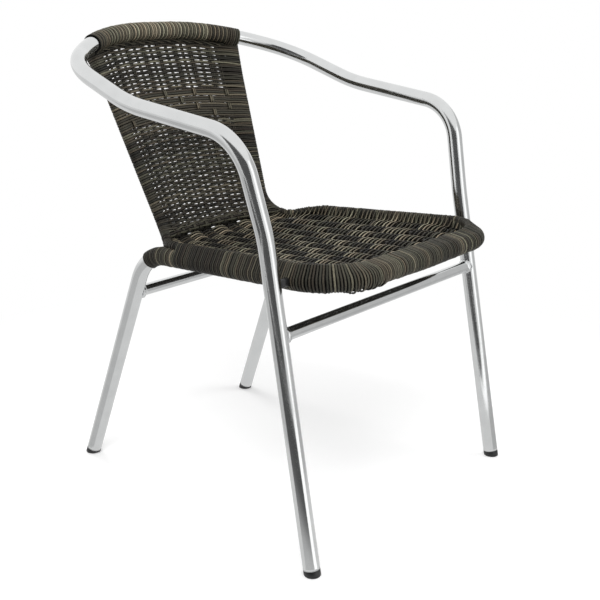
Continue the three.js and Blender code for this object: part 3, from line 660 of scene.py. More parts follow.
# Polished aluminium tube: bright, with the faint haze and fine grain that polishing leaves
def polished_material():
    nodes = new_nodes("polished_aluminium")
    haze = nodes.noise(38.0, 5.0)
    return nodes.end(nodes.shade({
        "Base Color": nodes.ramp(haze, between((0.665, 0.675, 0.675), (0.72, 0.73, 0.73))),
        "Roughness": nodes.ramp(haze, between(grey(0.11), grey(0.17))),
        "Metallic": 1.0,
        "Normal": nodes.bump(nodes.noise(900.0, 3.0), 0.02, 0.0002),
    }))


# Plain surface whose grain sets both its tint and its relief
def grained_material(name, metallic, scale, tints, roughness, relief):
    nodes = new_nodes(name)
    grain = nodes.noise(scale, 4.0)
    return nodes.end(nodes.shade({
        "Base Color": nodes.ramp(grain, between(*tints)),
        "Metallic": metallic,
        "Roughness": roughness,
        "Normal": nodes.bump(grain, *relief),
    }))


def plastic_material(name, colour, roughness):
    dark = tuple(0.75 * c for c in colour)
    return grained_material(name, 0.0, 700.0, (dark, colour), roughness, (0.2, 0.0004))


STRAND_STOPS = [
    (0.0, srgb(17, 16, 15)),
    (0.35, srgb(43, 41, 36)),
    (0.6, srgb(72, 69, 59)),
    (0.8, srgb(106, 101, 86)),
    (1.0, srgb(148, 141, 122)),
]
CAST_STOPS = [(0.0, (1.08, 0.97, 0.93)), (0.5, grey(1.0)), (1.0, (0.95, 1.02, 0.99))]
# Painted shade on the sides of each strand and a painted highlight on its faces, read from the
# crown mark
PAINTED_SHADE_AND_HIGHLIGHT_STOPS = [(0.5, grey(0.14)), (0.95, grey(1.36))]
WELD_TINTS = ((0.56, 0.57, 0.58), (0.78, 0.79, 0.80))
STEEL_TINTS = ((0.16, 0.16, 0.165), (0.30, 0.30, 0.31))


# Woven strand: a tone and a tint for each strand, painted shade on its sides and a painted
# highlight on its faces, fine grain and a satin skin
def strand_material():
    nodes = new_nodes("wicker_strand")
    colour = nodes.ramp(nodes.attribute("tone"), STRAND_STOPS)
    for value, stops in (
        (nodes.attribute("tint"), CAST_STOPS),
        (nodes.noise(420.0, 4.0), between(grey(0.76), grey(1.12))),
        (nodes.attribute("crown"), PAINTED_SHADE_AND_HIGHLIGHT_STOPS),
    ):
        inputs = {"Factor": 1.0, "A": colour, "B": nodes.ramp(value, stops)}
        colour = nodes.add("Mix", "Result", inputs, data_type="RGBA", blend_type="MULTIPLY")
    return nodes.end(nodes.shade({
        "Base Color": colour,
        "Roughness": 0.5,
        "Specular IOR Level": 0.18,
        "Normal": nodes.bump(nodes.noise(1500.0, 3.0), 0.35, 0.0004),
    }))


aluminium = polished_material()
weld_metal = grained_material("weld_aluminium", 1.0, 600.0, WELD_TINTS, 0.32, (0.5, 0.0008))
wicker = strand_material()
# Rods: brown paint, made darker than that paint as painted shade for the gaps of the seat where
# the rods show
rod_paint_and_gap_shade = plastic_material("brown_rod_paint_and_gap_shade", srgb(40, 36, 31), 0.5)
black_plastic = plastic_material("black_plastic", srgb(26, 26, 27), 0.42)
steel = grained_material("bolt_steel", 1.0, 900.0, STEEL_TINTS, 0.38, (0.15, 0.0003))


# Tubes, feet and rods


def build_tubes():
    for label, run in (("main", main_run), ("seat", seat_run)):
        tube = round_bar(f"tube_{label}", run, TUBE_RADIUS, TUBE_SIDES, aluminium)
        dress(tube, "polished_aluminium", f"{label}_tube")


# Stretcher along X with a flared fillet at each end, and the ripple of the weld bead round it
def build_stretcher(label, run, height):
    place, tangent = run.at(run.where(2, height))
    end = place[0] - TUBE_RADIUS * BAR_END_SHARE
    reach = place[0] - TUBE_RADIUS
    fillet = []
    for share in np.linspace(0.0, 1.0, FILLET_STEPS + 1):
        flare = FILLET * (1 - share) ** FILLET_POWER
        fillet.append((BAR_RADIUS + flare, -reach + 2 * FILLET * share))
    half = [(0.0, -end), (BAR_RADIUS, -end), *fillet]
    middle = [(BAR_RADIUS, share * reach) for share in np.linspace(-0.9, 0.9, 25)]
    profile = half + middle + [(radius, -along) for radius, along in half[::-1]]
    origin = place * [0.0, 1.0, 1.0]
    bar = turned(f"stretcher_{label}", profile, origin, ALONG_X, TUBE_SIDES, aluminium)
    dress(bar, "polished_aluminium", f"{label}_stretcher")
    for side, sign in SIDES:
        build_weld(f"weld_stretcher_{label}_{side}", place, tangent, sign)


# Bead along the line where the stretcher's skin meets the skin of a leg with this axis
def build_weld(name, place, axis, sign):
    angle = circle(BEAD_STEPS)
    radius = BAR_RADIUS + BEAD_RADIUS * BEAD_REST
    offset = np.stack([0 * angle, radius * np.cos(angle), radius * np.sin(angle)], -1)
    # Distance along X to the leg's skin, as the nearer root of a quadratic
    flat = ALONG_X - axis * (ALONG_X @ axis)
    rest = offset - (offset @ axis)[:, None] * axis
    a = flat @ flat
    b = 2 * rest @ flat
    c = np.sum(rest * rest, axis=1) - TUBE_RADIUS**2
    inner = (-b - np.sqrt(np.maximum(b * b - 4 * a * c, 0.0))) / (2 * a)
    line = place + offset + inner[:, None] * ALONG_X
    line = line if sign > 0 else mirrored(line)
    tangents = unit(np.roll(line, -1, axis=0) - np.roll(line, 1, axis=0))
    out = line - line.mean(axis=0)
    outward = unit(out - tangents * np.sum(out * tangents, axis=1)[:, None])
    ripple = RIPPLE * np.sin(angle * RIPPLES)
    ripple = ripple + RIPPLE_SPREAD * random.standard_normal(BEAD_STEPS)
    ring = all_round(outward, np.cross(tangents, outward), circle(BEAD_SIDES))
    vertices = line[:, None] + ring * (BEAD_RADIUS * (1 + ripple))[:, None, None]
    here = np.arange(BEAD_STEPS * BEAD_SIDES).reshape(BEAD_STEPS, BEAD_SIDES)
    ahead = np.roll(here, -1, axis=0)
    faces = np.stack([here, np.roll(here, -1, axis=1), np.roll(ahead, -1, axis=1), ahead], -1)
    faces = faces.reshape(-1, 4).tolist()
    bead = smooth_object(name, vertices.reshape(-1, 3), faces, weld_metal)
    dress(bead, "polished_aluminium")


# Foot plug's head: as wide as the tube, cut level with the floor, with its rim rounded
def build_foot(name, foot, corner, node):
    axis = unit(corner - foot)
    way = all_round(*square_to(axis), circle(TUBE_SIDES))
    top = FOOT_HEAD / axis[2] - ROD_GAP
    eased = FOOT_ROUND * FOOT_EASE

    def floor_ring(radius, height):
        return foot + way * radius + axis * ((height - radius * way[:, 2]) / axis[2])[:, None]

    rings = [
        floor_ring(CENTRE_RADIUS, 0.0),
        floor_ring(TUBE_RADIUS - FOOT_ROUND, 0.0),
        floor_ring(TUBE_RADIUS - eased, eased),
        floor_ring(TUBE_RADIUS, FOOT_ROUND),
        foot + way * TUBE_RADIUS + axis * (top - FOOT_TOP_ROUND),
        foot + way * (TUBE_RADIUS - eased) + axis * top,
        foot + way * CENTRE_RADIUS + axis * top,
    ]
    dress(ring_object(name, np.array(rings), black_plastic), "black_plastic", node)


def build_feet():
    for side, sign in SIDES:
        way = np.array([sign, 1.0, 1.0])
        for end, foot, corner in (("front", FRONT_FOOT, KNEE), ("rear", REAR_FOOT, SEAT_REAR)):
            build_foot(f"foot_{end}_{side}", way * foot, way * corner, f"{end}_foot_{side}")


def build_rod(name, run, radius, sides, node):
    dress(round_bar(name, run, radius, sides, rod_paint_and_gap_shade), "brown_rod", node)


def build_rods():
    points = back_run.at(np.linspace(0.0, back_run.length, 220))[0]
    for side, line in (("right", points), ("left", mirrored(points))):
        build_rod(f"rod_back_{side}", Run(line), RIM_RADIUS, ROD_SIDES, f"back_rod_{side}")
    build_rod("rod_front", front_run, RIM_RADIUS, ROD_SIDES, "seat_front_rod")
    cross_rod = Run(cross_rod_points(np.linspace(1.0, -1.0, 60)))
    build_rod("rod_cross", cross_rod, RIM_RADIUS, ROD_SIDES, "rear_cross_rod")
    for index in range(SEAT_ROD_COUNT):
        line = []
        for f in np.linspace(0.0, 1.0, 90):
            x = seat_rod_x(index - (SEAT_ROD_COUNT - 1) / 2, f)
            line.append(seat_points(np.array([x]), f)[0] - UP * SEAT_ROD_DROP)
        number = index + 1
        name, node = f"rod_seat_{number}", f"seat_rod_{number}"
        build_rod(name, Run(line), SEAT_ROD_RADIUS, SEAT_ROD_SIDES, node)


# Weave surfaces


# Line of the top rail over the back, as places across with their depth and height
def back_rail():
    x = np.linspace(-HALF_WIDTH, HALF_WIDTH, 201)
    top = main_run.points[np.argsort(main_run.points[:, 0])]
    top = top[top[:, 2] > rail_at_rod[2] - 5.0]
    return x, np.interp(x, top[:, 0], top[:, 1]), np.interp(x, top[:, 0], top[:, 2])


rail_x, rail_y, rail_z = back_rail()


# Points of the back's middle surface, at shares across and a length down the back rod
def back_points(across, length):
    across = np.asarray(across, float)
    length = np.broadcast_to(length, across.shape)
    down = length / heel_length
    edge = back_run.at(length)[0]
    x = across * HALF_WIDTH
    crown = (np.interp(x, rail_x, rail_z) - rail_at_rod[2]) * (1 - down)
    bow_top = np.interp(x, rail_x, rail_y) - rail_at_rod[1]
    bow = bow_top * (1 - down) + CROSS_ROD_BOW * (1 - across**2) * down
    return np.stack([edge[:, 0] * across, edge[:, 1] + bow, edge[:, 2] + crown], -1)


# Direction out of the back towards a sitter
def back_normals(across, length):
    side = back_points(across + 0.01, length) - back_points(across - 0.01, length)
    down = back_points(across, length + 1.0) - back_points(across, length - 1.0)
    return unit(np.cross(down, side))


# Line in front of the back's middle surface by a depth, with its normals
def back_line(across, length, depth):
    normal = back_normals(across, length)
    return back_points(across, length) + normal * depth[:, None], normal


seat_side = back_run.at(np.linspace(heel_length, back_run.length, EDGE_SAMPLES))[0]
front_rod_middle = front_run.at(front_run.length / 2)[0]
seat_edge = Run([*seat_side, [seat_side[-1][0], front_rod_middle[1], front_rod_middle[2]]])


# Place across of a numbered seat rod, counted from the middle one, at a share of the way forward
def seat_rod_x(number, f):
    spread = cross_rod_end[0] + (SEAT_ROD_SPREAD - cross_rod_end[0]) * f
    return spread * 2 * number / SEAT_ROD_COUNT


# Points of the seat's middle surface at a share of the way forward
def seat_points(x, f):
    edge = seat_edge.at(seat_edge.length * f)[0]
    span = np.clip(1 - (x / edge[0]) ** 2, 0.0, 1.0)
    bow = CROSS_ROD_BOW * span * max(0.0, 1 - f / REAR_BOW_SHARE) ** 2
    dish = SEAT_DISH * span * (1 - (2 * f - 1) ** 4)
    return np.stack([x, edge[1] + bow, edge[2] - SEAT_SURFACE_DROP - dish + 0.0 * x], -1)


# Direction out of the seat's upper side
def seat_normals(x, f):
    ahead = seat_points(x, f + 0.004) - seat_points(x, max(0.0, f - 0.004))
    side = seat_points(x + 0.5, f) - seat_points(x - 0.5, f)
    return unit(np.cross(ahead, side))


# Wraps


# Where strand lies round the tube and, where there is one, the rod beside it
def wrap_offsets(angle, tilt, lift):
    across, rise = np.sin(angle), np.cos(angle)
    tube = TUBE_RADIUS + THICKNESS / 2 + lift
    rod = RIM_RADIUS + THICKNESS / 2 + lift
    reach = TUBE_RADIUS + RIM_RADIUS + ROD_GAP
    a, r = across * tube, rise * tube
    if tilt is not None:
        rod_a, rod_r = reach * np.sin(tilt), reach * np.cos(tilt)
        over = rod_a * across + rod_r * rise + rod > tube
        a = np.where(over, rod_a + across * rod, a)
        r = np.where(over, rod_r + rise * rod, r)
    return a, r


# Turns of strand from one length to another, each from the underside round to the underside
def wind(
    strands, run, start, stop, tilt_at, tone_at,
    radius=None, pitch=WRAP_PITCH, beat=WRAP_BEAT, loose=TURN_LOOSE, slack=None,
):
    count = max(1, round((stop - start) / pitch))
    step = (stop - start) / count
    turn = np.linspace(0.0, 1.0, TURN_STEPS + 1)
    angle = math.pi + 2 * math.pi * turn
    for index in range(count):
        share = (index + 0.5) / count
        lead = index + TURN_LEAD + (1 - 2 * TURN_LEAD) * turn
        s = np.clip(start + step * lead + drawn(0.0, TURN_JITTER), start, stop)
        point, _, inward, up = run.frames(s)
        lift = drawn(0.0, loose)
        if radius is None:
            a, r = wrap_offsets(angle, tilt_at and tilt_at(s), lift)
        else:
            a, r = (radius + lift) * np.sin(angle), (radius + lift) * np.cos(angle)
        path = point + inward * a[:, None] + up * r[:, None]
        if slack:
            path = path - UP * slack(share) * (0.5 - 0.5 * np.cos(angle))[:, None]
        outward = inward * np.sin(angle)[:, None] + up * np.cos(angle)[:, None]
        width = step * drawn(*TURN_COVER)
        tone = tone_at(share) + (beat if index % 2 == 0 else -beat)
        strands.lay(path, outward, width, THICKNESS, tone)


# Tones that change in patches along a wrap, with a few lighter single turns
def patchy(stops, spread, light_chance, light=LIGHT_TONE):
    places, tones = zip(*stops)

    def tone_at(share):
        if random.random() < light_chance:
            return drawn(*light)
        return drawn(np.interp(share, places, tones), spread)

    return tone_at


def lashed_rod(_):
    return LASHING_TILT


# Swelling of a height about a place along a wrap, with a spread
def swelling(share, height, place, spread):
    return height * math.exp(-(((share - place) / spread) ** 2))


# How far the turns of the front wrap hang down: slack ones at a corner, a slight sag midway
def front_slack(share):
    return random.random() ** 2 * swelling(share, *SLACK) + swelling(share, *SAG)


# Wrap of one tube, in stretches that have a start, a stop, a tilt, tones and a beat, over a dark
# lining that is painted shade for the grooves between turns
def build_wrap(name, slot, node, run, stretches, slack=None):
    strands = Strands()
    for start, stop, tilt_at, tone_at, beat in stretches:
        wind(strands, run, start, stop, tilt_at, tone_at, beat=beat, slack=slack)
    start, stop = stretches[0][0], stretches[-1][1]
    places = np.linspace(start + 1.0, stop - 1.0, round((stop - start) / GROOVE_SHADE_LINING_STEP))
    strands.line(*run.at(places), TUBE_RADIUS + GROOVE_SHADE_LINING)
    strands.finish(name, slot, node)


def build_wraps():
    start = main_run.where(0, TOP_RIGHT_END)
    stop = main_run.length - main_run.where(0, TOP_LEFT_END)
    lashed = start + LASHING_LENGTH, stop - LASHING_LENGTH
    right_tone = patchy([(0.0, 0.5), (1.0, 0.5)], 0.06, 0.05)
    middle_tone = patchy(TOP_TONES, 0.05, 0.05, TOP_LIGHT_TONE)
    left_tone = patchy([(0.0, 0.6), (1.0, 0.52)], 0.06, 0.05)
    build_wrap("strands_top_wrap", "wicker_light", "top_wrap", main_run, [
        (start, lashed[0], lashed_rod, right_tone, WRAP_BEAT),
        (*lashed, None, middle_tone, TOP_BEAT),
        (lashed[1], stop, lashed_rod, left_tone, TOP_BEAT),
    ])
    bolt = bolt_lengths()[1]
    for side, sign in SIDES:
        run = seat_run if sign > 0 else Run(seat_run.points[::-1], -seat_run.tangents[::-1])
        start = run.where(1, SIDE_WRAP_START)
        tone = patchy(SIDE_TONES, 0.06, 0.1)
        build_wrap(f"strands_side_{side}", "wicker", f"side_wrap_{side}", run, [
            (start, landed_length, None, tone, WRAP_BEAT),
            (landed_length, bolt, lambda s: sign * rim_tilt(s), tone, WRAP_BEAT),
        ])
    stop = seat_run.length - bolt
    stretches = [(bolt, stop, rim_tilt, patchy(FRONT_TONES, 0.06, 0.1), WRAP_BEAT)]
    build_wrap("strands_front_wrap", "wicker", "front_wrap", seat_run, stretches, front_slack)


# Back weave


def stake_share(index):
    return (index - MIDDLE_STAKE) * STAKE_SPACING / HALF_WIDTH


def row_pitch(s):
    ends = [BRICK_START, heel_length]
    return np.interp(s, ends, [TOP_PITCH, LOW_PITCH])


# Rows down the back: dense under the rail, open, the brick band, open again and a dense heel,
# each with its kind, its length down the rod, its brick and its place in the brick
def back_rows():
    rows = [("dense", s, 0, 0) for s in DENSE_TOP_ROWS]
    count = round((BRICK_START - FIRST_ROW) / TOP_PITCH)
    for number in range(count):
        rows.append(("open", BRICK_START + TOP_PITCH * (number + 0.5 - count), 0, 0))
    for brick in range(BRICK_ROWS):
        for strand in range(BRICK_STRANDS):
            place = brick * BRICK_STRANDS + 1.5 + (strand - 1) * BRICK_TIGHTNESS
            rows.append(("brick", BRICK_START + BRICK_PITCH * place, brick, strand))
    s = BRICK_START + BRICK_ROWS * BRICK_STRANDS * BRICK_PITCH + 0.5 * TOP_PITCH
    while s < heel_length - DENSE_HEEL:
        rows.append(("open", s, 0, 0))
        s += row_pitch(s)
    while s < heel_length:
        rows.append(("dense", s, 0, 0))
        s += DENSE_PITCH
    return rows


def brick_ties(brick):
    first = 2 if brick % 2 == 0 else 0
    return range(first, STAKE_COUNT, 4)


def build_back():
    strands = Strands()
    edge = stake_share(STAKE_COUNT - 1) + EDGE_PAST_STAKE / HALF_WIDTH
    inner = np.linspace(-edge, edge, ROW_SAMPLES)
    # Place counted in stakes, with whole numbers at the stakes
    stakes = inner / (STAKE_SPACING / HALF_WIDTH) + MIDDLE_STAKE
    from_middle = np.abs(stakes - MIDDLE_STAKE)
    fade = 1 - EDGE_FADE * smooth((from_middle - EDGE_FADE_START) / EDGE_FADE_LENGTH)
    pair = np.cos(math.pi * stakes / 2)
    pull = fade * np.sign(pair) * np.abs(pair) ** PAIR_SHARPNESS
    for index, (kind, s, brick, strand) in enumerate(back_rows()):
        parity = 1.0 if index % 2 == 0 else -1.0
        depth = parity * STAKE_OFFSET * np.cos(math.pi * stakes)
        shift = parity * PAIR_DRAW * np.interp(s, OPENNESS_PLACES, OPENNESS) * pull
        width = ROW_COVER * row_pitch(s)
        tone = drawn(*ROW_TONE)
        if kind == "dense":
            shift = 0.0 * pair
            tone -= DENSE_TONE_DROP
        if kind == "brick":
            away = np.min([np.abs(stakes - tie) for tie in brick_ties(brick)], axis=0)
            bulge = BRICK_BULGE - BRICK_ROUND * abs(strand - 1)
            depth = BRICK_DEPTH + bulge * smooth(away / BRICK_BULGE_SPAN)
            draw = (strand - (BRICK_STRANDS - 1) / 2) * BRICK_DRAW
            shift = -draw * (1 - smooth(away / BRICK_DRAW_SPAN))
            width = ROW_COVER * BRICK_PITCH
            tone = drawn(*BRICK_TONE)
        row = s + shift + BACK_SLANT * depth + drawn(0.0, ROW_JITTER)
        middle, normal = back_line(inner, row, depth)
        if random.random() < LIGHT_ROW_CHANCE:
            tone += LIGHT_ROW_LIFT
        sway = LOOP_SWAY * random.standard_normal(2)
        left = side_loop(s + sway[0], -1.0, middle[0], normal[0], row_pitch(s))
        right = side_loop(s + sway[1], 1.0, middle[-1], normal[-1], row_pitch(s))
        path = np.concatenate([left[0][::-1], middle, right[0]])
        outward = np.concatenate([left[1][::-1], normal, right[1]])
        strands.lay(path, outward, width, BACK_THICKNESS, tone)
    lay_heel(strands)
    lay_stakes(strands)
    lay_twist(strands)
    strands.finish("strands_back", "wicker", "woven_back")


# End of a back strand: forward over the rod, round it, and back behind the weave half a row lower
def side_loop(s, sign, start, start_normal, pitch):
    lengths = s + pitch * LOOP_STEP * np.linspace(0.0, 1.0, LOOP_SAMPLES)
    edge, tangent = back_run.at(np.clip(lengths, 0.0, back_run.length))
    surface_normal = back_normals(np.array([LOOP_SIDE * sign]), np.array([s]))[0]
    if sign < 0:
        edge, tangent = mirrored(edge), mirrored(tangent)
    out = unit(np.cross(tangent, surface_normal))
    out = np.where(out[:, :1] * sign > 0, out, -out)
    front = np.cross(out, tangent)
    front = np.where((front @ surface_normal)[:, None] > 0, front, -front)
    near_top = max(0.0, 1 - s / LOOP_TAPER)
    reach = LOOP_REACH + (TOP_LOOP_REACH - LOOP_REACH) * near_top
    behind = LOOP_REACH + (TOP_LOOP_BEHIND - LOOP_REACH) * near_top
    share = np.linspace(0.0, 1.0, 9)[1:-1, None]
    over = edge[0] + front[0] * LOOP_REACH
    rise = LOOP_REACH * LOOP_RISE * np.sin(math.pi * share)
    leg = start + (over - start) * share + front[0] * rise
    angle = np.linspace(0.0, math.pi, LOOP_SAMPLES)[:, None]
    depth = np.where(np.cos(angle) > 0, LOOP_REACH, behind)
    bend = edge + front * np.cos(angle) * depth + out * np.sin(angle) * reach
    way = front * np.cos(angle) + out * np.sin(angle)
    down = unit(edge[-1] - edge[0])
    end = start + down * pitch * LOOP_STEP - start_normal * (2.0 * STAKE_OFFSET + LOOP_TUCK)
    back = bend[-1] + (end - bend[-1]) * np.linspace(0.0, 1.0, 7)[1:, None]
    path = np.concatenate([leg, bend, back])
    normals = np.concatenate([front[0] + 0 * leg, way, -front[-1] + 0 * back])
    return path, normals


# Rows round the front and the underside of the cross rod, that close the foot of the back
def lay_heel(strands):
    share = np.linspace(-HEEL_SHARE, HEEL_SHARE, EDGE_SAMPLES)
    rod = cross_rod_points(share)
    for number, degrees in enumerate(HEEL_ROW_ANGLES):
        angle = math.radians(degrees)
        outward = FORWARD * math.cos(angle) + UP * math.sin(angle)
        tone = drawn(HEEL_TONES[number % 2], HEEL_TONE_SPREAD)
        wave = share * HALF_WIDTH / STAKE_SPACING + degrees / HEEL_ROW_STEP
        lift = HEEL_SWING * np.cos(math.pi * wave)
        path = rod + outward * (RIM_RADIUS + BACK_THICKNESS / 2 + lift[:, None])
        strands.lay(path, outward, HEEL_WIDTH, BACK_THICKNESS, tone)


# Stakes are two strands side by side. They come forward where they tie a brick down, and
# their lower ends go round the cross rod
def lay_stakes(strands):
    brick_pitch = BRICK_PITCH * BRICK_STRANDS
    band_end = BRICK_START + brick_pitch * BRICK_ROWS
    s = np.linspace(STAKE_START, heel_length - STAKE_STOP, 260)
    angle = np.radians(np.linspace(*STAKE_TURN, 12))[:, None]
    around = FORWARD * np.cos(angle) + UP * np.sin(angle)
    reach = RIM_RADIUS + BACK_THICKNESS / 2 + STAKE_REST
    band = smooth((s - BRICK_START + BAND_FADE) / BAND_FADE)
    band = band * smooth((band_end + BAND_FADE - s) / BAND_FADE)
    for index in range(STAKE_COUNT):
        tie = 0.0 * s
        for brick in range(BRICK_ROWS):
            if index in brick_ties(brick):
                away = np.abs(s - BRICK_START - brick_pitch * (brick + 0.5)) / brick_pitch
                tie = tie + 1 - smooth((away - TIE_HALF) / TIE_FADE)
        depth = tie * (TIE_DEPTH + STAKE_BEHIND_BAND) - STAKE_BEHIND_BAND * band
        for sign in (-1.0, 1.0):
            share = stake_share(index) + sign * STAKE_SPLIT / HALF_WIDTH
            path, normal = back_line(np.full(len(s), share), s, depth)
            path = np.concatenate([path, cross_rod_points(share) + reach * around])
            normal = np.concatenate([normal, around])
            # Where a stake comes forward over a brick its tone is raised, a painted highlight
            tone = drawn(*STAKE_TONE) + TIE_PAINTED_HIGHLIGHT * tie
            tone = np.concatenate([tone, np.full(len(around), tone[-1] + STAKE_END_LIGHT)])
            strands.lay(path, normal, STAKE_WIDTH, STAKE_THICKNESS, tone)


# Two strands twisted round each other along the lower edge of the top wrap
def lay_twist(strands):
    across = np.linspace(-TWIST_SHARE, TWIST_SHARE, 420)
    for phase in (0.0, math.pi):
        angle = phase + across * HALF_WIDTH * 2 * math.pi / TWIST_PITCH
        s = TWIST_LENGTH + TWIST_BOW * across**2 + TWIST_SWING * np.sin(angle)
        depth = TWIST_REST + TWIST_DEPTH * np.cos(angle)
        strands.lay(*back_line(across, s, depth), **TWIST)


# Seat weave


# Half width of the seat between the rim rods, at a point of its edge
def seat_reach(point):
    if point[1] > FRONT_ROD_END_DEPTH:
        return point[0]
    half = front_run.points[: len(front_run.points) // 2]
    return np.interp(-point[1], -half[:, 1], half[:, 0])


# Return run of a seat strand, flat against the underside of the rods, toned darker than the rows
# above as painted shade under the seat
def lay_return(strands, reach, f):
    x = np.linspace(-reach, reach, 40)
    normals = seat_normals(x, f)
    drop = SEAT_ROD_DROP + SEAT_ROD_RADIUS + SEAT_THICKNESS
    strands.lay(seat_points(x, f) - normals * drop, normals, **SEAT_RETURN)


def seat_rows():
    rows, y = [], SEAT_FIRST_ROW
    while y < seat_edge.length - SEAT_FRONT_STOP:
        rows.append(y)
        y += SEAT_DENSE_PITCH if y < SEAT_DENSE_LENGTH else SEAT_ROW_PITCH
    return rows


# Rows go over one rod and under the next. Light and dark rows take turns, and they
# change places every few rows, so patches of raised light strand alternate
def build_seat():
    strands = Strands()
    swing = SEAT_ROD_RADIUS + SEAT_THICKNESS / 2
    rim_rise = RIM_RADIUS + SEAT_THICKNESS / 2
    for index, y in enumerate(seat_rows()):
        f = y / seat_edge.length
        light = index % 2 == 0
        group = index // (2 * SEAT_GROUP)
        reach = seat_reach(seat_edge.at(y)[0])
        x = np.linspace(-reach, reach, ROW_SAMPLES)
        way = 1.0 if light == (group % 2 == 0) else -1.0
        wave = way * swing * np.cos(math.pi * (x / seat_rod_x(1.0, f)))
        outer = smooth(1 - (reach - np.abs(x)) / SEAT_RIM_RISE)
        outward = seat_normals(x, f)
        rim = SEAT_SURFACE_DROP + (rim_rise if light else -rim_rise)
        height = (wave - SEAT_ROD_DROP) * (1 - outer) + rim * outer
        points = seat_points(x, f) + outward * height[:, None]
        points[:, 1] += drawn(0.0, SEAT_ROW_JITTER)
        tone = drawn(*(SEAT_LIGHT_TONE if light else SEAT_DARK_TONE))
        if random.random() < SEAT_PALE_CHANCE:
            tone += SEAT_PALE_LIFT
        tone = tone + (SEAT_RIM_TONE - tone) * SEAT_RIM_EVENNESS * outer
        strands.lay(points, outward, SEAT_STRAND_WIDTH, SEAT_THICKNESS, tone)
        lay_return(strands, reach, f)
    start, stop = heel_length - 3.0, back_run.where(1, LANDED_DEPTH)
    for run in (back_run, Run(mirrored(back_run.points))):
        wind(
            strands, run, start, stop, None, patchy(HEEL_WRAP_TONES, 0.08, 0.1),
            radius=LOOP_REACH, pitch=HEEL_WRAP_PITCH, loose=HEEL_WRAP_LOOSE,
        )
    strands.finish("strands_seat", "wicker", "woven_seat")


# Fixings


# Lengths on the main and seat runs where a level bolt passes through both
def bolt_lengths():
    height = SEAT_FRONT[2]
    for _ in range(5):
        leg_length = main_run.where(2, height)
        leg = main_run.at(leg_length)[0]
        rail_length = seat_run.where(1, leg[1])
        height = seat_run.at(rail_length)[0][2]
    return leg_length, rail_length


# Bolt from the inside of the seat rail into the leg, with its spacer between the two
def build_fixings():
    leg_length, rail_length = bolt_lengths()
    rail = seat_run.at(rail_length)[0]
    gap = main_run.at(leg_length)[0][0] - rail[0]
    under_head = -TUBE_RADIUS - ROD_GAP
    top = under_head - HEAD_HEIGHT
    bolt_profile = [
        (CENTRE_RADIUS, top), (HEAD_RADIUS * 0.6, top),
        (HEAD_RADIUS * 0.9, under_head - HEAD_HEIGHT * 0.7),
        (HEAD_RADIUS, under_head - HEAD_EDGE), (HEAD_RADIUS, under_head),
        (BOLT_RADIUS, under_head), (BOLT_RADIUS, gap), (CENTRE_RADIUS, gap),
    ]
    start = TUBE_RADIUS * SPACER_SEAT
    stop = gap - start
    radii = (CENTRE_RADIUS, SPACER_RADIUS, SPACER_RADIUS, CENTRE_RADIUS)
    spacer_profile = list(zip(radii, (start, start, stop, stop)))
    for side, sign in SIDES:
        origin = rail * [sign, 1.0, 1.0]
        way = sign * ALONG_X
        bolt = turned(f"bolt_{side}", bolt_profile, origin, way, FIXING_SIDES, steel)
        dress(bolt, "steel", f"seat_bolt_{side}", f"leg_insert_{side}")
        name = f"spacer_ring_{side}"
        spacer = turned(name, spacer_profile, origin, way, FIXING_SIDES, black_plastic)
        dress(spacer, "black_plastic", f"spacer_{side}")


# Stage: floor, lights, cards for the metal to reflect, and the camera


# Matrix from three directions and a place
def matrix_from(across, rise, way, place):
    rows = np.stack([across, rise, way, place], -1)
    return Matrix([*rows.tolist(), (0.0, 0.0, 0.0, 1.0)])


# Directions across and up, square to a direction that points at the viewer
def facing(way):
    across = unit(np.cross(UP, way))
    return across, np.cross(way, across)


def stage_plane(name, size, matrix, material):
    half = size / 2
    corners = [(-half, -half, 0.0), (half, -half, 0.0), (half, half, 0.0), (-half, half, 0.0)]
    obj = add_mesh(name, corners, [(0, 1, 2, 3)], material)
    obj.matrix_world = matrix
    return obj


# Pale floor: near the chair it shows the soft shadow, and further off it blends into white.
# Metal sees an even pale grey in it
def floor_material():
    nodes = new_nodes("floor")
    tone = nodes.ramp(nodes.noise(3.0, 2.0), between(grey(0.78), grey(0.8)))
    plain = nodes.shade({"Base Color": tone, "Roughness": 0.9, "Specular IOR Level": 0.0})
    near = nodes.add("AddShader", "Shader", {0: plain, 1: nodes.glow(FLOOR_GLOW)})
    away = nodes.add("VectorMath", "Value", {0: nodes.place()}, operation="LENGTH")
    inputs = {"Value": away, "From Min": FLOOR_FADE[0], "From Max": FLOOR_FADE[1]}
    far = nodes.add("MapRange", "Result", inputs, interpolation_type="SMOOTHSTEP")
    seen = nodes.mix(far, near, nodes.glow(1.0))
    seen = nodes.mix(nodes.ray("Camera"), plain, seen)
    return nodes.end(nodes.mix(nodes.ray("Glossy"), seen, nodes.glow(FLOOR_IN_METAL)))


def card_material(name, strength):
    nodes = new_nodes(name)
    return nodes.end(nodes.glow(strength))


# Tone of a floor patch that changes with distance from a foot
def fading_material(name, foot, stops):
    nodes = new_nodes(name)
    inputs = {0: nodes.place(), 1: (*foot, 0.0)}
    away = nodes.add("VectorMath", "Value", inputs, operation="DISTANCE")
    return nodes.end(nodes.add("Emission", "Emission", {"Color": nodes.ramp(away, stops)}))


def hide_from_view(obj):
    obj.visible_camera = False
    obj.visible_diffuse = False
    obj.visible_shadow = False


# A fan on the floor that only reflections see, from beside a foot outwards
def floor_fan(name, foot, azimuths, height, material):
    turn = np.radians(np.linspace(*azimuths, 13))
    way = np.stack([np.sin(turn), np.cos(turn)], -1)
    flat = np.concatenate([foot + FAN_START * way, foot + FAN_REACH * way])
    vertices = [(x, y, height) for x, y in flat.tolist()]
    count = len(turn)
    faces = [(i, i + 1, count + i + 1, count + i) for i in range(count - 1)]
    obj = add_mesh(name, vertices, faces, material)
    hide_from_view(obj)


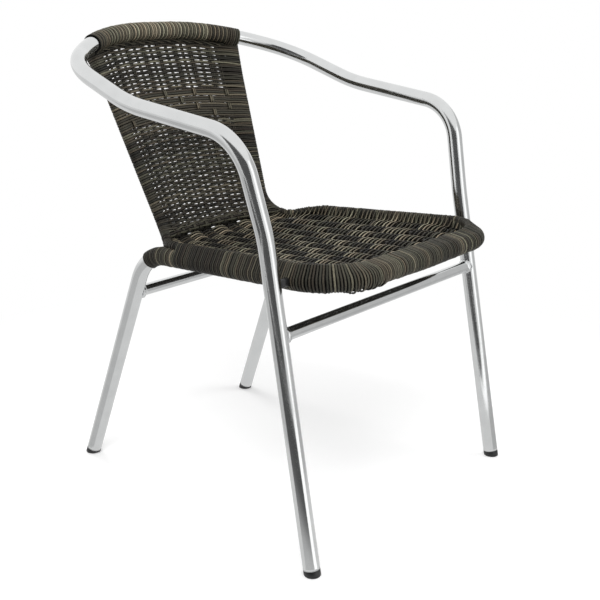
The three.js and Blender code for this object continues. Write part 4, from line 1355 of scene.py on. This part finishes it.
# A card that only reflections see, facing the chair
def card(name, azimuth, distance, width, material):
    turn, level = math.radians(azimuth), math.cos(CARD_ELEVATION)
    way = np.array([math.sin(turn) * level, math.cos(turn) * level, math.sin(CARD_ELEVATION)])
    across, rise = facing(way)
    place = way * distance + UP * CARD_AIM
    matrix = matrix_from(across * width, rise * CARD_HEIGHT, way, place)
    hide_from_view(stage_plane(name, 1.0, matrix, material))


def area_light(name, place, power):
    light = bpy.data.lights.new(name, "AREA")
    light.shape = "DISK"
    light.size = LIGHT_SIZE
    light.energy = power
    obj = bpy.data.objects.new(name, light)
    way = unit(place - UP * LIGHT_AIM)
    obj.matrix_world = matrix_from(*facing(way), way, place)
    obj.visible_glossy = False
    bpy.context.scene.collection.objects.link(obj)


# White to the eye and in reflections, and dimmer as the light that falls on the chair
def build_world():
    world = bpy.data.worlds.new("studio")
    bpy.context.scene.world = world
    nodes = Nodes(world)
    seen = nodes.ray("Camera")
    for kind in ("Glossy", "Transmission"):
        seen = nodes.add("Math", "Value", {0: seen, 1: nodes.ray(kind)}, operation="MAXIMUM")
    white = {"Color": (1.0, 1.0, 1.0, 1.0), "Strength": 1.0}
    dim = {**white, "Strength": AMBIENT_STRENGTH}
    dim, white = [nodes.add("Background", "Background", inputs) for inputs in (dim, white)]
    nodes.end(nodes.mix(seen, dim, white), "World Output")


def build_camera():
    cos_a, cos_e, cos_r = np.cos(CAMERA_ANGLES)
    sin_a, sin_e, sin_r = np.sin(CAMERA_ANGLES)
    forward = np.array([sin_a * cos_e, cos_a * cos_e, -sin_e])
    right = np.array([cos_a, -sin_a, 0.0])
    up = np.cross(right, forward)
    across, rise = right * cos_r + up * sin_r, -right * sin_r + up * cos_r
    camera = bpy.data.cameras.new("camera")
    camera.sensor_fit = "HORIZONTAL"
    camera.sensor_width = SENSOR_WIDTH
    camera.lens = CAMERA_FOCAL_PIXELS * SENSOR_WIDTH / IMAGE_PIXELS
    camera.clip_start = 0.05
    obj = bpy.data.objects.new("camera", camera)
    obj.matrix_world = matrix_from(across, rise, -forward, placed(CAMERA_PLACE))
    bpy.context.scene.collection.objects.link(obj)
    bpy.context.scene.camera = obj


DARK_FLOOR_STOPS = [
    (0.03, grey(0.62)), (0.12, grey(0.55)), (0.28, grey(0.27)),
    (0.45, grey(0.13)), (0.7, grey(0.1)),
]


# Azimuths of the cards are degrees from +Y towards +X
def build_stage():
    floor_place = Matrix.Translation((0.0, 0.0, -FLOOR_DROP))
    stage_plane("floor", FLOOR_SIZE, floor_place, floor_material())
    bright = card_material("bright_card", 1.5)
    near_foot, rear_foot = [placed(mirrored(foot))[:2] for foot in (FRONT_FOOT, REAR_FOOT)]
    far_foot = placed(FRONT_FOOT)[:2]
    dark_floor = fading_material("dark_floor", near_foot, DARK_FLOOR_STOPS)
    for name, foot, azimuths, height, material in (
        ("card_floor_dark", near_foot, (192.0, 298.0), 0.0005, dark_floor),
        ("card_floor_bright", near_foot, (152.0, 190.0), 0.0006, bright),
        ("card_floor_grey", far_foot, (100.0, 193.0), 0.0004, card_material("grey_floor", 0.55)),
        ("card_floor_rear", rear_foot, (236.0, 335.0), 0.0003, card_material("pale_floor", 0.6)),
    ):
        floor_fan(name, foot, azimuths, height, material)
    card("card_behind_camera", 243.0, 2.6, 4.2, card_material("dark_card", 0.1))
    card("card_bright_strip", 172.0, 2.7, 1.1, bright)
    card("card_grey_right", 122.0, 2.8, 3.0, card_material("grey_card", 0.62))
    area_light("key", (-1.6, -1.2, 2.6), 45.0)
    area_light("fill", (1.8, -1.8, 1.8), 22.0)
    area_light("rear", (0.5, 2.2, 2.2), 22.0)


build_tubes()
build_stretcher("front", main_run, FRONT_STRETCHER_HEIGHT)
build_stretcher("rear", seat_run, REAR_STRETCHER_HEIGHT)
build_feet()
build_rods()
build_wraps()
build_back()
build_seat()
build_fixings()
build_world()
build_camera()
build_stage()

bpy.context.scene.view_settings.view_transform = "Standard"
